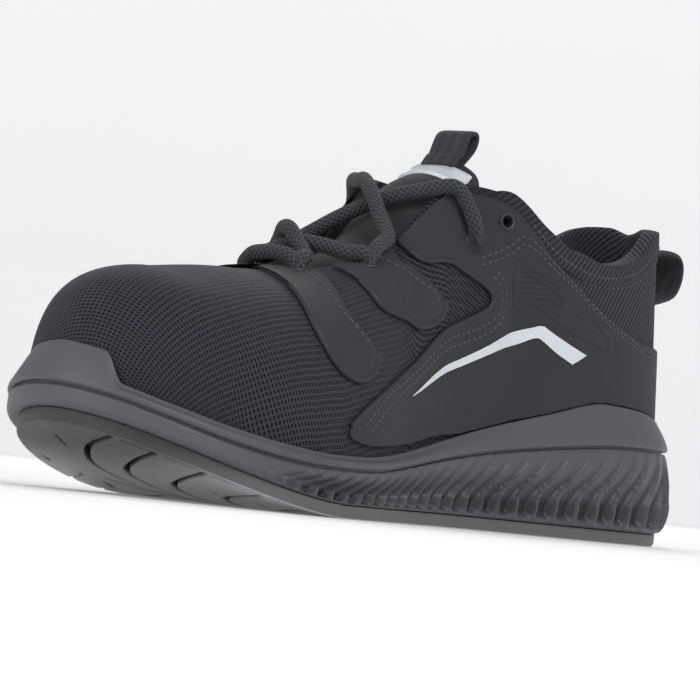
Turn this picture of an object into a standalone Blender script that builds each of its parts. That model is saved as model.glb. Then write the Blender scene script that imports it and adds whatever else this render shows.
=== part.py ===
"""Safety sneaker for the right foot: lugged outsole, ribbed midsole with a raised toe bumper and heel
cradle, hollow upper, quarter overlays, tongue, insole, lace, eyelets, pull loops and trim.

The toe points to -X, the inner (medial) side to -Y, and the shoe stands on z = 0. Every wall follows one
closed ring round the foot: ring value 0 is the back of the heel, TOE is the tip of the toe, values below
TOE run along the medial side and values above it come back along the lateral side.
"""

import math
from collections import namedtuple

import bmesh
import bpy
import numpy as np
from mathutils import Vector
from mathutils.geometry import delaunay_2d_cdt

# Sizes in metres.
LENGTH = 0.298  # tread, heel to toe
WIDTH = 0.105  # ball
HEIGHT = 0.112  # instep and collar above the floor
WALL = 0.0026  # upper
GAP = 0.0003  # between touching pieces
TREAD = 0.0044  # outsole at the edge
GROOVE_DEPTH = 0.0028
TOE_SPRING = 0.022
TOE_ROLL = 0.70  # share of the length where the sole starts to lift
HEEL_ROLL = 0.004
FLOOR_HEEL = 0.0215  # top of the midsole inside the cup
FLOOR_BALL = 0.0135
FLOOR_TOE = 0.0080
LIP = 0.0022  # top edge of the midsole cup
SEAT = 0.0009  # clearance between the cup and the upper
RIB_DEPTH = 0.0016
RIB_SWEEP = 0.50  # how far a rib leans towards the toe, in ring steps
RIBBED = 11.4  # ring values from the heel over which the side is ribbed
BUMPER = 0.0095  # rise of the toe bumper over the cup
BUMPER_LEAN = 0.35  # of the bumper, back over the toe
INSOLE = 0.0042
OVERLAY = 0.0012
LAID = 0.0009  # bonding line under an overlay, which follows the faceted wall
TRIM = 0.0008
TONGUE_WALL = 0.0055
TONGUE_RISE = 0.009  # length of tongue above the throat
TONGUE_LEAN = math.radians(35)  # of the free end, back from upright
TONGUE_OVERLAP = 0.009  # tucked under each edge of the throat
CORD = 0.0054  # lace
LACE_BOW = 0.0050  # rise of the lace over the middle of the tongue
BAR_BOW = 0.0030  # the same on the bar over the first pair of eyelets
LACE_UP = Vector((-0.35, 0, 1)).normalized()  # away from the tongue
LACE_LIFT = 0.0016  # clearance over the eyelets
LACE_EDGE = 0.97  # rise at which a lace leaves the wall for the throat
LACE_TURN = 0.25  # share of the way to the next pair that it gains on the wall
LOOP_SINK = 0.003  # top of the heel loop's webbing under the collar's edge
EYELET = 0.0070
EYELET_BORE = 0.0040
EYELET_STAND = 0.0009
LOOP_WIDTH = 0.020
LOOP_WALL = 0.0022
LOOP_REACH = 0.0165
LOOP_HEIGHT = 0.021
TAB_WIDTH = 0.016
TAB_WALL = 0.0020
TAB_HEIGHT = 0.0065
LABEL_WIDTH = 0.027
LABEL_LOW = 0.12  # share of the tongue's last part, from the throat up
LABEL_HIGH = 0.52

# Sections of the shoe from heel to toe. Lengths are shares of LENGTH (along, top_along), of WIDTH (medial,
# lateral, top_across, belly, bulge, line_out, band_out, feather) or of HEIGHT (top_height, band, line,
# foot). medial and lateral are the tread's half widths, top_* the collar, throat or vamp ridge above.
Station = namedtuple(
    "Station",
    "along medial lateral top_along top_across top_height roundness belly band line foot bulge line_out "
    "band_out feather steps",
)
STATIONS = [
    Station(.000, .000, .000, .020, .000, 1.000, .00, .020, .392, .306, .268, .055, .010, -.028, -.043, 3),
    Station(.018, .200, .200, .028, .100, 1.020, .00, .010, .398, .308, .268, .055, .010, -.028, -.043, 2),
    Station(.055, .295, .295, .064, .195, 1.005, .00, -.005, .412, .311, .268, .055, .010, -.028, -.043, 2),
    Station(.110, .345, .350, .128, .253, .905, .05, .000, .432, .312, .266, .050, .010, -.025, -.040, 3),
    Station(.190, .352, .362, .208, .286, .870, .08, .015, .442, .306, .262, .045, .010, -.020, -.036, 3),
    Station(.290, .325, .345, .296, .295, .920, .10, .020, .385, .280, .250, .040, .012, -.012, -.030, 3),
    Station(.380, .292, .338, .374, .265, 1.045, .15, .020, .325, .248, .228, .036, .015, -.006, -.026, 3),
    Station(.470, .315, .370, .445, .190, 1.070, .35, .025, .268, .213, .196, .032, .018, .000, -.024, 3),
    Station(.560, .385, .440, .538, .145, .855, .70, .030, .220, .178, .166, .030, .018, .000, -.022, 3),
    Station(.650, .475, .475, .630, .118, .755, .90, .030, .192, .152, .146, .028, .018, .000, -.022, 3),
    Station(.730, .515, .468, .702, .000, .722, 1.0, .030, .186, .146, .142, .028, .018, .002, -.022, 3),
    Station(.810, .505, .435, .795, .000, .708, 1.0, .028, .200, .156, .152, .030, .020, .006, -.020, 3),
    Station(.885, .438, .385, .875, .000, .684, 1.0, .030, .235, .192, .188, .034, .026, .012, -.016, 3),
    Station(.945, .325, .305, .875, .000, .684, 1.0, .034, .285, .245, .236, .040, .034, .018, -.012, 2),
    Station(.983, .185, .185, .875, .000, .684, 1.0, .036, .330, .290, .270, .044, .038, .022, -.010, 3),
    Station(1.00, .000, .000, .875, .000, .684, 1.0, .036, .350, .310, .290, .045, .040, .024, -.010, 3),
]
TOE = len(STATIONS) - 1
THROAT = 10  # ring value where the vamp opens into the throat
POLE = 12  # ring value from which the vamp gathers to one point
COLLAR = 6.35  # ring value where the throat turns into the collar

# Grooves between the lugs, from the rim of the tread over two bends to the root in the middle. Values
# along the shoe and the width of the groove are shares of LENGTH or WIDTH.
Groove = namedtuple("Groove", "rim along_1 across_1 along_2 across_2 root root_across width")
MEDIAL_GROOVES = [
    Groove(0.047, 0.067, +0.190, 0.124, +0.076, 0.097, -0.086, 0.020),
    Groove(0.084, 0.094, +0.257, 0.178, +0.086, 0.138, -0.076, 0.025),
    Groove(0.134, 0.148, +0.257, 0.235, +0.067, 0.201, -0.076, 0.025),
    Groove(0.232, 0.245, +0.229, 0.279, +0.086, 0.262, -0.057, 0.027),
    Groove(0.289, 0.305, +0.229, 0.326, +0.105, 0.309, -0.057, 0.027),
    Groove(0.393, 0.386, +0.210, 0.372, +0.086, 0.352, -0.057, 0.025),
    Groove(0.440, 0.426, +0.229, 0.406, +0.095, 0.389, -0.029, 0.023),
    Groove(0.493, 0.473, +0.229, 0.450, +0.114, 0.430, +0.019, 0.023),
    Groove(0.557, 0.544, +0.276, 0.513, +0.171, 0.487, +0.067, 0.023),
    Groove(0.644, 0.617, +0.324, 0.564, +0.200, 0.527, +0.105, 0.025),
    Groove(0.705, 0.678, +0.352, 0.621, +0.219, 0.574, +0.114, 0.025),
    Groove(0.762, 0.732, +0.305, 0.678, +0.181, 0.628, +0.095, 0.025),
    Groove(0.826, 0.799, +0.248, 0.768, +0.162, 0.664, +0.057, 0.027),
    Groove(0.893, 0.856, +0.181, 0.815, +0.057, 0.715, +0.010, 0.027),
    Groove(0.940, 0.903, +0.095, 0.856, -0.038, 0.758, -0.048, 0.027),
    Groove(0.973, 0.940, +0.000, 0.886, -0.124, 0.815, -0.133, 0.025),
]
LATERAL_GROOVES = [
    Groove(0.101, 0.087, -0.267, 0.070, -0.200, 0.054, -0.143, 0.023),
    Groove(0.144, 0.138, -0.238, 0.121, -0.171, 0.101, -0.124, 0.023),
    Groove(0.205, 0.198, -0.229, 0.181, -0.171, 0.158, -0.114, 0.023),
    Groove(0.265, 0.252, -0.238, 0.238, -0.171, 0.215, -0.114, 0.027),
    Groove(0.319, 0.309, -0.219, 0.295, -0.152, 0.268, -0.086, 0.027),
    Groove(0.356, 0.349, -0.210, 0.332, -0.124, 0.309, -0.067, 0.025),
    Groove(0.393, 0.389, -0.219, 0.379, -0.124, 0.349, -0.067, 0.025),
    Groove(0.416, 0.433, -0.219, 0.426, -0.114, 0.396, -0.038, 0.023),
    Groove(0.443, 0.466, -0.210, 0.466, -0.095, 0.440, +0.000, 0.023),
    Groove(0.473, 0.507, -0.229, 0.523, -0.143, 0.487, +0.038, 0.025),
    Groove(0.497, 0.530, -0.200, 0.554, -0.057, 0.537, +0.057, 0.025),
    Groove(0.513, 0.560, -0.210, 0.591, -0.067, 0.567, +0.057, 0.025),
    Groove(0.557, 0.601, -0.229, 0.621, -0.086, 0.601, +0.029, 0.025),
    Groove(0.594, 0.638, -0.238, 0.661, -0.114, 0.638, +0.019, 0.027),
    Groove(0.638, 0.681, -0.286, 0.708, -0.152, 0.678, +0.000, 0.027),
    Groove(0.688, 0.728, -0.295, 0.758, -0.133, 0.725, -0.038, 0.027),
    Groove(0.748, 0.765, -0.371, 0.782, -0.324, 0.809, -0.286, 0.023),
    Groove(0.805, 0.819, -0.381, 0.829, -0.333, 0.842, -0.305, 0.021),
]
# The zigzag channel that joins the roots, and the channel just inside the medial rim.
Knee = namedtuple("Knee", "along across")
CHANNEL = [
    Knee(.050, -.143), Knee(.101, -.119), Knee(.158, -.114), Knee(.215, -.110), Knee(.265, -.081),
    Knee(.309, -.067), Knee(.352, -.062), Knee(.393, -.033), Knee(.433, .010), Knee(.483, .057),
    Knee(.530, .081), Knee(.570, .081), Knee(.604, .057), Knee(.634, .048), Knee(.671, .019),
    Knee(.718, -.024), Knee(.758, -.086), Knee(.792, -.143), Knee(.826, -.219),
]
CHANNEL_WIDTH = 0.0032
RIM_IN = 0.0032  # rim channel, inside the edge
RIM_WIDTH = 0.0020
RIM_RINGS = (2.2, 13.6)  # ring values between which it runs

# Spacing of an overlay's points: along its outline and inside it in ring values, and inside it in rise.
SHEET_STEP = 0.6
SHEET_PITCH = 0.42
SHEET_ROW = 0.095

# Outlines of overlays on the upper: ring value and rise from the sole (0) to the top edge (1).
Corner = namedtuple("Corner", "ring rise")
QUARTER = [
    Corner(0.04, .06), Corner(1.6, .06), Corner(3.2, .10), Corner(4.6, .10), Corner(6.2, .09),
    Corner(8.0, .08), Corner(9.4, .09), Corner(9.75, .13), Corner(9.2, .21), Corner(8.4, .29),
    Corner(7.8, .34), Corner(7.25, .39), Corner(6.6, .465), Corner(6.2, .53), Corner(6.2, .59),
    Corner(6.45, .635), Corner(6.95, .66), Corner(7.35, .69), Corner(7.65, .76), Corner(7.9, .94),
    Corner(7.3, .95), Corner(6.75, .955), Corner(6.2, .955), Corner(5.7, .93), Corner(5.2, .885),
    Corner(4.6, .82), Corner(4.0, .74), Corner(3.4, .66), Corner(2.6, .56), Corner(1.7, .50),
    Corner(0.04, .47),
]
FINGER_FRONT = [
    Corner(9.95, .95), Corner(10.0, .62), Corner(9.95, .46), Corner(9.7, .36), Corner(9.35, .33),
    Corner(9.0, .36), Corner(9.05, .42), Corner(9.3, .50), Corner(9.35, .64), Corner(9.3, .95),
]
FINGER_BACK = [
    Corner(8.95, .95), Corner(8.8, .70), Corner(8.5, .60), Corner(8.1, .52), Corner(7.65, .455),
    Corner(7.3, .455), Corner(7.2, .49), Corner(7.4, .55), Corner(7.85, .64), Corner(8.05, .77),
    Corner(8.15, .95),
]
STRIPE = [
    Corner(7.80, .235), Corner(7.05, .295), Corner(6.45, .365), Corner(5.75, .475), Corner(5.40, .560),
    Corner(5.20, .580), Corner(4.42, .525), Corner(4.66, .460), Corner(5.30, .512), Corner(5.60, .455),
    Corner(5.95, .390), Corner(6.85, .285), Corner(7.35, .248),
]
Hole = namedtuple("Hole", "ring rise")
EYELETS = [Hole(9.62, .885), Hole(8.52, .875), Hole(6.72, .750), Hole(6.12, .885)]

# Side view of the heel loop: shares of LOOP_REACH behind the heel and of LOOP_HEIGHT above its lower end.
Bend = namedtuple("Bend", "reach up")
LOOP_BENDS = [
    Bend(0.00, -0.45), Bend(0.00, -0.10), Bend(0.02, 0.06), Bend(0.36, 0.16), Bend(0.76, 0.30), Bend(0.97, 0.56),
    Bend(1.00, 0.82), Bend(0.84, 0.98), Bend(0.55, 0.99), Bend(0.25, 0.90), Bend(0.13, 0.86), Bend(0.13, 0.96),
]


def clear_scene():
    for found in list(bpy.data.objects):
        bpy.data.objects.remove(found)


def column(name, mirrored=False):
    """One column of STATIONS as a closed ring: the medial side out, the lateral side back."""
    out = [getattr(row, name) for row in STATIONS]
    sign = -1 if mirrored else 1
    return np.array(out + [sign * value for value in out[-2:0:-1]])


def on_ring(values, ring, bounded=True):
    """Cubic through values at whole ring numbers. Bounded, it doesn't overshoot them."""
    ring = np.asarray(ring, float)
    count = len(values)
    low = np.floor(ring).astype(int)
    f = ring - low
    p0, p1, p2, p3 = (values[(low + k) % count] for k in (-1, 0, 1, 2))

    def slope(a, b, c):
        mean = (c - a) / 2
        if not bounded:
            return mean
        limit = 3 * np.minimum(abs(b - a), abs(c - b))
        return np.where((b - a) * (c - b) <= 0, 0, np.clip(mean, -limit, limit))

    m1, m2 = slope(p0, p1, p2), slope(p1, p2, p3)
    return (
        (2 * f**3 - 3 * f**2 + 1) * p1 + (f**3 - 2 * f**2 + f) * m1
        + (3 * f**2 - 2 * f**3) * p2 + (f**3 - f**2) * m2
    )


SHAPE = {name: column(name) for name in Station._fields}
ALONG = SHAPE["along"] * LENGTH
ACROSS = np.concatenate([SHAPE["medial"][: TOE + 1], -SHAPE["lateral"][TOE + 1 :]]) * WIDTH
TOP = [SHAPE["top_along"] * LENGTH, column("top_across", True) * WIDTH, SHAPE["top_height"] * HEIGHT]


def share(name, ring, size):
    return on_ring(SHAPE[name], ring) * size


def place(along, across, height):
    """Point of the shoe: metres from the heel, from the middle to the medial side, and up."""
    return np.stack(np.broadcast_arrays(LENGTH / 2 - along, -np.asarray(across), height), -1)


def edge(ring, out):
    """Along and across of the tread's edge, moved out by a distance."""
    here = np.stack([on_ring(ALONG, ring, False), on_ring(ACROSS, ring, False)], -1)
    step = 0.02
    ahead = np.stack([on_ring(ALONG, ring + step, False), on_ring(ACROSS, ring + step, False)], -1)
    behind = np.stack([on_ring(ALONG, ring - step, False), on_ring(ACROSS, ring - step, False)], -1)
    tangent = ahead - behind
    tangent /= np.linalg.norm(tangent, axis=-1, keepdims=True)
    normal = np.stack([-tangent[..., 1], tangent[..., 0]], -1)
    return here + normal * np.asarray(out)[..., None]


def ground(along):
    """Height of the tread: flat, rolled a little at the heel, and lifted at the toe."""
    u = np.asarray(along) / LENGTH
    toe = np.clip((u - TOE_ROLL) / (1 - TOE_ROLL), 0, None)
    heel = np.clip(1 - u / 0.07, 0, None)
    return TOE_SPRING * toe**1.8 + HEEL_ROLL * heel**2


def footbed(along):
    """Height of the floor inside the cup, from the heel seat down to the ball."""
    u = np.clip((np.asarray(along) / LENGTH - 0.12) / 0.50, 0, 1)
    toe = np.clip((np.asarray(along) / LENGTH - 0.68) / 0.32, 0, 1)
    thick = FLOOR_HEEL + (FLOOR_BALL - FLOOR_HEEL) * u * u * (3 - 2 * u)
    return ground(along) + thick + (FLOOR_TOE - FLOOR_BALL) * toe


def upper_base(ring, rise):
    """Outer face of the upper: rise 0 at the cup, 1 at the top edge, below 0 down inside the cup."""
    ring, rise = np.broadcast_arrays(np.asarray(ring, float), np.asarray(rise, float))
    low = edge(ring, share("feather", ring, WIDTH))
    height = share("foot", ring, HEIGHT)
    top = [on_ring(values, ring) for values in TOP]
    w = np.clip(rise, 0, 1)
    round_ = np.clip(on_ring(SHAPE["roundness"], ring), 0, 1)
    belly = share("belly", ring, WIDTH) * np.sin(math.pi * w) ** 2
    run = np.hypot(top[0] - low[..., 0], top[1] - low[..., 1]) + 1e-9
    climb = top[2] - height
    turn = w * math.pi / 2
    inward = (1 - round_) * w + round_ * (1 - np.cos(turn))
    upward = (1 - round_) * w + round_ * np.sin(turn)
    slant = np.hypot(run, climb)
    inward = run * inward - belly * climb / slant
    upward = climb * upward + belly * run / slant
    along = low[..., 0] + (top[0] - low[..., 0]) / run * inward
    across = low[..., 1] + (top[1] - low[..., 1]) / run * inward
    sink = np.clip(-rise, 0, None)
    return place(along, across, height + upward - sink * (height - footbed(along) - GAP))


def upper(ring, rise, deep=0.0):
    """The same face, moved inwards by deep along its normal."""
    ring, rise = np.broadcast_arrays(np.asarray(ring, float), np.asarray(rise, float))
    here = upper_base(ring, rise)
    if np.all(np.asarray(deep) == 0):
        return here
    w = np.clip(rise, 0.01, 0.97)
    turned = upper_base(ring + 0.05, w) - upper_base(ring - 0.05, w)
    raised = upper_base(ring, w + 0.01) - upper_base(ring, w - 0.01)
    normal = np.cross(raised, turned)
    normal /= np.linalg.norm(normal, axis=-1, keepdims=True) + 1e-12
    ridge = (np.abs(ring - TOE) <= TOE - THROAT + 1e-6) & (rise > 0.999)
    normal[ridge, 1] = 0
    pole = (np.abs(ring - TOE) <= TOE - POLE + 1e-6) & (rise > 0.999)
    normal[pole] = (0.12, 0, 1)
    normal /= np.linalg.norm(normal, axis=-1, keepdims=True)
    return here - normal * np.asarray(deep)[..., None]


def ring_values():
    """Ring values of the columns, with each station's own number of steps, the same on both sides."""
    side = [k + i / row.steps for k, row in enumerate(STATIONS[:-1]) for i in range(row.steps)]
    return np.array(side + [TOE] + [2 * TOE - value for value in side[:0:-1]])


RING = ring_values()
COLUMNS = len(RING)


def material(name, colour, roughness, metallic=0.0):
    made = bpy.data.materials.new(name)
    made.use_nodes = True
    shader = made.node_tree.nodes["Principled BSDF"]
    shader.inputs["Base Color"].default_value = (*colour, 1)
    shader.inputs["Roughness"].default_value = roughness
    shader.inputs["Metallic"].default_value = metallic
    made.diffuse_color = (*colour, 1)
    return made


def piece(name, points, faces, look, weld=2e-6, smooth=35):
    """A named object from points and faces, welded, with its faces turned outwards."""
    shape = bmesh.new()
    corners = [shape.verts.new(Vector(map(float, point))) for point in points]
    for face in faces:
        loop = []
        for index in face:
            if not loop or corners[index] is not loop[-1]:
                loop.append(corners[index])
        if len(loop) > 1 and loop[0] is loop[-1]:
            loop.pop()
        if len(loop) > 2 and len(set(loop)) == len(loop) and not shape.faces.get(loop):
            shape.faces.new(loop)
    loose = [corner for corner in shape.verts if not corner.link_faces]
    bmesh.ops.delete(shape, geom=loose, context="VERTS")
    bmesh.ops.remove_doubles(shape, verts=shape.verts, dist=weld)
    bmesh.ops.recalc_face_normals(shape, faces=shape.faces)
    mesh = bpy.data.meshes.new(name)
    shape.to_mesh(mesh)
    shape.free()
    mesh.shade_smooth()
    mesh.set_sharp_from_angle(angle=math.radians(smooth))
    made = bpy.data.objects.new(name, mesh)
    made.data.materials.append(look)
    bpy.context.scene.collection.objects.link(made)
    return made


def strip(faces, first, second):
    """Quads between two closed rows of equal length."""
    count = len(first)
    for i in range(count):
        j = (i + 1) % count
        faces.append((first[i], first[j], second[j], second[i]))


class Rows:
    """Points and faces of a mesh built row by row."""

    def __init__(self):
        self.points = []
        self.faces = []

    def row(self, points):
        start = len(self.points)
        self.points.extend(points)
        return list(range(start, start + len(points)))

    def join(self, first, second):
        strip(self.faces, first, second)

    def across(self, row):
        """Closes a row with strips from each medial point to the lateral point beside it."""
        count = len(row)
        half = count // 2
        self.faces.append((row[0], row[1], row[-1]))
        for i in range(1, half - 1):
            self.faces.append((row[i], row[i + 1], row[-i - 1], row[-i]))
        self.faces.append((row[half - 1], row[half], row[half + 1]))


def smooth_line(knees, steps=3):
    """Curve through a few points, with steps between each two."""
    pts = np.array(knees, float)
    ends = np.vstack([2 * pts[0] - pts[1], pts, 2 * pts[-1] - pts[-2]])
    out = []
    for i in range(len(pts) - 1):
        p0, p1, p2, p3 = ends[i : i + 4]
        for k in range(steps):
            f = k / steps
            out.append(
                0.5 * (2 * p1 + (p2 - p0) * f + (2 * p0 - 5 * p1 + 4 * p2 - p3) * f**2
                       + (3 * p1 - p0 - 3 * p2 + p3) * f**3)
            )
    return np.array(out + [pts[-1]])


def ribbon(line, width, taper=0.35):
    """Quads along a flat line, narrower at its far end."""
    line = np.asarray(line)
    ahead = np.gradient(line, axis=0)
    ahead /= np.linalg.norm(ahead, axis=1, keepdims=True)
    normal = np.stack([-ahead[:, 1], ahead[:, 0]], 1)
    half = width / 2 * np.linspace(1, 1 - taper, len(line))[:, None]
    left, right = line + normal * half, line - normal * half
    return [(left[i], left[i + 1], right[i + 1], right[i]) for i in range(len(line) - 1)]


def groove_line(groove, side):
    """Centre of a groove from beyond the rim to its root, in metres along and across."""
    ring = np.linspace(0, TOE, 400) if side > 0 else np.linspace(2 * TOE, TOE, 400)
    rim = edge(ring, np.zeros(400))
    rim_across = np.interp(groove.rim * LENGTH, rim[:, 0], rim[:, 1])
    inset = RIM_IN if side > 0 else RIM_WIDTH
    start = (groove.rim * LENGTH, rim_across - side * inset)
    knees = [
        start,
        (groove.along_1 * LENGTH, groove.across_1 * WIDTH),
        (groove.along_2 * LENGTH, groove.across_2 * WIDTH),
        (groove.root * LENGTH, groove.root_across * WIDTH),
    ]
    return smooth_line(knees, 2)


def flat_mesh(outline, inner, extra=()):
    """Triangles of an outline in millimetres, each with the numbers of the inner faces that it lies in."""
    verts, edges, faces = [], [], []
    for loop in [outline, *inner]:
        start = len(verts)
        if sum(a[0] * b[1] - b[0] * a[1] for a, b in zip(loop, [*loop[1:], loop[0]])) < 0:
            loop = list(loop)[::-1]
        verts += [Vector((float(p[0]) * 1000, float(p[1]) * 1000)) for p in loop]
        faces.append(list(range(start, len(verts))))
    for point in extra:
        verts.append(Vector((float(point[0]) * 1000, float(point[1]) * 1000)))
    found = delaunay_2d_cdt(verts, edges, faces, 0, 1e-4)
    points = np.array([(p.x, p.y) for p in found[0]]) / 1000
    triangles = []
    for face, origin in zip(found[2], found[5]):
        if 0 in origin:
            triangles.append((list(face), any(k > 0 for k in origin)))
    return points, triangles


def make_outsole(look):
    """Tread: lugs stand proud of the floor of the grooves, and the top is one smooth face."""
    rim = edge(RING, np.zeros(COLUMNS))
    cuts = []
    for side, rows in ((1, MEDIAL_GROOVES), (-1, LATERAL_GROOVES)):
        for groove in rows:
            cuts += ribbon(groove_line(groove, side), groove.width * WIDTH)
    cuts += ribbon(smooth_line([(k.along * LENGTH, k.across * WIDTH) for k in CHANNEL], 1), CHANNEL_WIDTH, 0.2)
    rim_ring = np.linspace(*RIM_RINGS, 22)
    cuts += ribbon(edge(rim_ring, np.full(22, -RIM_IN)), RIM_WIDTH, 0.2)
    points, triangles = flat_mesh(rim, cuts)
    rows = Rows()
    floor = ground(points[:, 0])
    lug = rows.row(place(points[:, 0], points[:, 1], floor))
    low = rows.row(place(points[:, 0], points[:, 1], floor + GROOVE_DEPTH))
    sides = {}
    for face, grooved in triangles:
        level = low if grooved else lug
        rows.faces.append([level[i] for i in face])
        for a, b in zip(face, face[1:] + face[:1]):
            sides.setdefault((min(a, b), max(a, b)), []).append(grooved)
    for (a, b), found in sides.items():
        if len(found) == 2 and found[0] != found[1]:
            rows.faces.append([lug[a], lug[b], low[b], low[a]])
    top = rows.row(place(rim[:, 0], rim[:, 1], ground(rim[:, 0]) + TREAD))
    nearest = [int(np.argmin(np.sum((points - p) ** 2, 1))) for p in rim]
    rows.join([lug[i] for i in nearest], top)
    rows.across(top)
    return piece("outsole", rows.points, rows.faces, look, smooth=30)


def rib_ring(level):
    """Ring values of a row of the ribbed wall: fine steps where ribs are, swept with the level."""
    values, height, owner = [], [], []
    for i in range(COLUMNS):
        here, after = RING[i], RING[(i + 1) % COLUMNS] + (2 * TOE if i == COLUMNS - 1 else 0)
        far = abs(TOE - here)
        ribbed = min(far, abs(TOE - after)) > TOE - RIBBED
        owner.append(len(values))
        for k in range(3 if ribbed else 1):
            values.append(here + (after - here) * k / 3)
            height.append((0, 1, 0.8)[k] if ribbed else 0.35)
    values = np.array(values)
    fade = np.sin(np.clip(values, 0, 2 * TOE) / TOE * math.pi)
    calm = np.clip((TOE - np.abs(values - TOE)) / 2.0, 0, 1) * np.clip((np.abs(values - TOE) - 2.2) / 2, 0, 1)
    sweep = np.sign(fade) * calm * RIB_SWEEP * level
    return values + sweep, np.array(height), owner


def transition(rows, coarse, fine, owner):
    """Fans between a row of COLUMNS points and a finer one."""
    count = len(fine)
    for i in range(COLUMNS):
        j = (i + 1) % COLUMNS
        start, end = owner[i], owner[j] if j else count
        chain = [fine[k % count] for k in range(start, end + 1)]
        rows.faces.append([coarse[j], coarse[i], *chain])


def bumper_rise(ring):
    """Extra height of the cup round the toe."""
    off = np.abs(ring - TOE)
    fall = np.clip((1.25 - off) / 0.42, 0, 1)
    return BUMPER * fall * fall * (3 - 2 * fall) * (1 - 0.10 * np.clip(off, 0, 2))


def make_midsole(look):
    """Ribbed wall, a groove line, a smooth band round the upper and a floor inside."""
    rows = Rows()
    fine_rows = []
    owner = None
    # share of the way from the tread up to the line, outward share of the bulge, share of the rib depth
    for level, out, ribs in ((0.14, .60, .7), (0.48, 1.0, 1.0), (0.95, .60, .2)):
        values, crest, owner = rib_ring(1 - level)
        foot = edge(values, np.zeros(len(values)))
        base = ground(foot[:, 0]) + TREAD + GAP
        line = share("line", values, HEIGHT) - 0.0012
        bulge = share("bulge", values, WIDTH) * out
        upper_out = share("line_out", values, WIDTH) * level
        spread = np.maximum(bulge * math.sin(math.pi * min(0.62 + level * 0.35, 1)) ** 0.5, upper_out)
        depth = RIB_DEPTH * ribs * (crest - 0.6)
        at = edge(values, spread + depth)
        fine_rows.append(rows.row(place(at[:, 0], at[:, 1], base + (line - base) * level)))
    start = edge(RING, np.zeros(COLUMNS))
    foot = rows.row(place(start[:, 0], start[:, 1], ground(start[:, 0]) + TREAD + GAP))
    transition(rows, foot, fine_rows[0], owner)
    for below, above in zip(fine_rows, fine_rows[1:]):
        rows.join(below, above)
    line_out = share("line_out", RING, WIDTH)
    band_out = share("band_out", RING, WIDTH) - BUMPER_LEAN * bumper_rise(RING)
    line = share("line", RING, HEIGHT)
    band = share("band", RING, HEIGHT) + bumper_rise(RING)
    ringed = []
    for out, height in (
        (line_out - 0.0014, line),
        (line_out + 0.0002, line + 0.0016),
        (line_out * 0.45 + band_out * 0.55 + 0.0012, line * 0.45 + band * 0.55),
        (band_out, band - 0.0008),
        (band_out - LIP * 0.5, band),
    ):
        at = edge(RING, out)
        ringed.append(rows.row(place(at[:, 0], at[:, 1], height)))
    transition(rows, ringed[0], fine_rows[-1], owner)
    for below, above in zip(ringed, ringed[1:]):
        rows.join(below, above)
    inside = []
    seat = share("foot", RING, HEIGHT)
    for part in (1.0, 0.5):
        # The inner wall keeps SEAT from the upper at this height.
        height = seat + (band - seat) * part - 0.0006
        inside.append(rows.row(beside_upper(RING, height)))
    base = edge(RING, share("feather", RING, WIDTH) + SEAT)
    inside.append(rows.row(place(base[:, 0], base[:, 1], seat)))
    inside.append(rows.row(place(base[:, 0], base[:, 1], footbed(base[:, 0]))))
    rows.join(ringed[-1], inside[0])
    for above, below in zip(inside, inside[1:]):
        rows.join(above, below)
    rows.across(inside[-1])
    rows.across(foot)
    return piece("midsole", rows.points, rows.faces, look, smooth=38)


def beside_upper(ring, height):
    """Points at given heights, SEAT outside the upper's outer face."""
    rises = np.linspace(0, 0.8, 81)
    out = []
    for value, z in zip(ring, height):
        wall = upper(np.full(81, value), rises, np.full(81, -SEAT))
        out.append((np.interp(z, wall[:, 2], wall[:, 0]), np.interp(z, wall[:, 2], wall[:, 1]), z))
    return out


def make_upper(look):
    """Hollow upper: open at the collar, the throat and underneath."""
    rows = Rows()
    outer_rises = (-1, 0, .16, .33, .50, .67, .84, 1)
    inner_rises = (1, .90, .72, .50, .26, -1)
    made = []
    for rises, deep in ((outer_rises, 0.0), (inner_rises, WALL)):
        for rise in rises:
            made.append(rows.row(upper(RING, np.full(COLUMNS, rise), np.full(COLUMNS, deep))))
    for first, second in zip(made, made[1:] + made[:1]):
        if first is made[len(outer_rises) - 1]:
            # The rim joins the two faces only where the top edge is open.
            for i in range(COLUMNS):
                j = (i + 1) % COLUMNS
                far = [abs(RING[k] - TOE) for k in (i, j)]
                if max(far) > TOE - THROAT + 1e-6:
                    rows.faces.append((first[i], first[j], second[j], second[i]))
        else:
            rows.join(first, second)
    shape = piece("upper", rows.points, rows.faces, look, weld=4e-5, smooth=50)
    for tool in eyelet_tools(EYELET / 2 + GAP, 0.012):
        cut = shape.modifiers.new(tool.name, "BOOLEAN")
        cut.operation = "DIFFERENCE"
        cut.object = tool
    return shape


def eyelet_frames():
    """Name, centre and outward direction of each eyelet."""
    out = []
    for number, hole in enumerate(EYELETS, 1):
        for side in ("medial", "lateral"):
            ring = hole.ring if side == "medial" else 2 * TOE - hole.ring
            centre, inner = (upper(np.array([ring]), np.array([hole.rise]), np.array([d]))[0] for d in (0, WALL))
            outward = Vector(centre - inner).normalized()
            out.append((f"eyelet_{side}_{number}", Vector(centre), outward))
    return out


def tube_points(radius, centre, direction, sides, turn=0.0):
    spin = direction.to_track_quat("Z", "Y")
    return [
        centre + spin @ Vector((radius * math.cos(a), radius * math.sin(a), 0))
        for a in (turn + 2 * math.pi * k / sides for k in range(sides))
    ]


def eyelet_tools(radius, length):
    """Hidden cutters for the eyelet holes."""
    out = []
    for name, centre, direction in eyelet_frames():
        rows = Rows()
        ends = [
            rows.row(tube_points(radius, centre + direction * shift, direction, 8))
            for shift in (-length / 2, length / 2)
        ]
        rows.join(*ends)
        rows.faces += [ends[0], ends[1]]
        made = piece("cut_" + name, rows.points, rows.faces, bpy.data.materials["black"])
        made.hide_render = True
        made.display_type = "WIRE"
        out.append(made)
    return out


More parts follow.
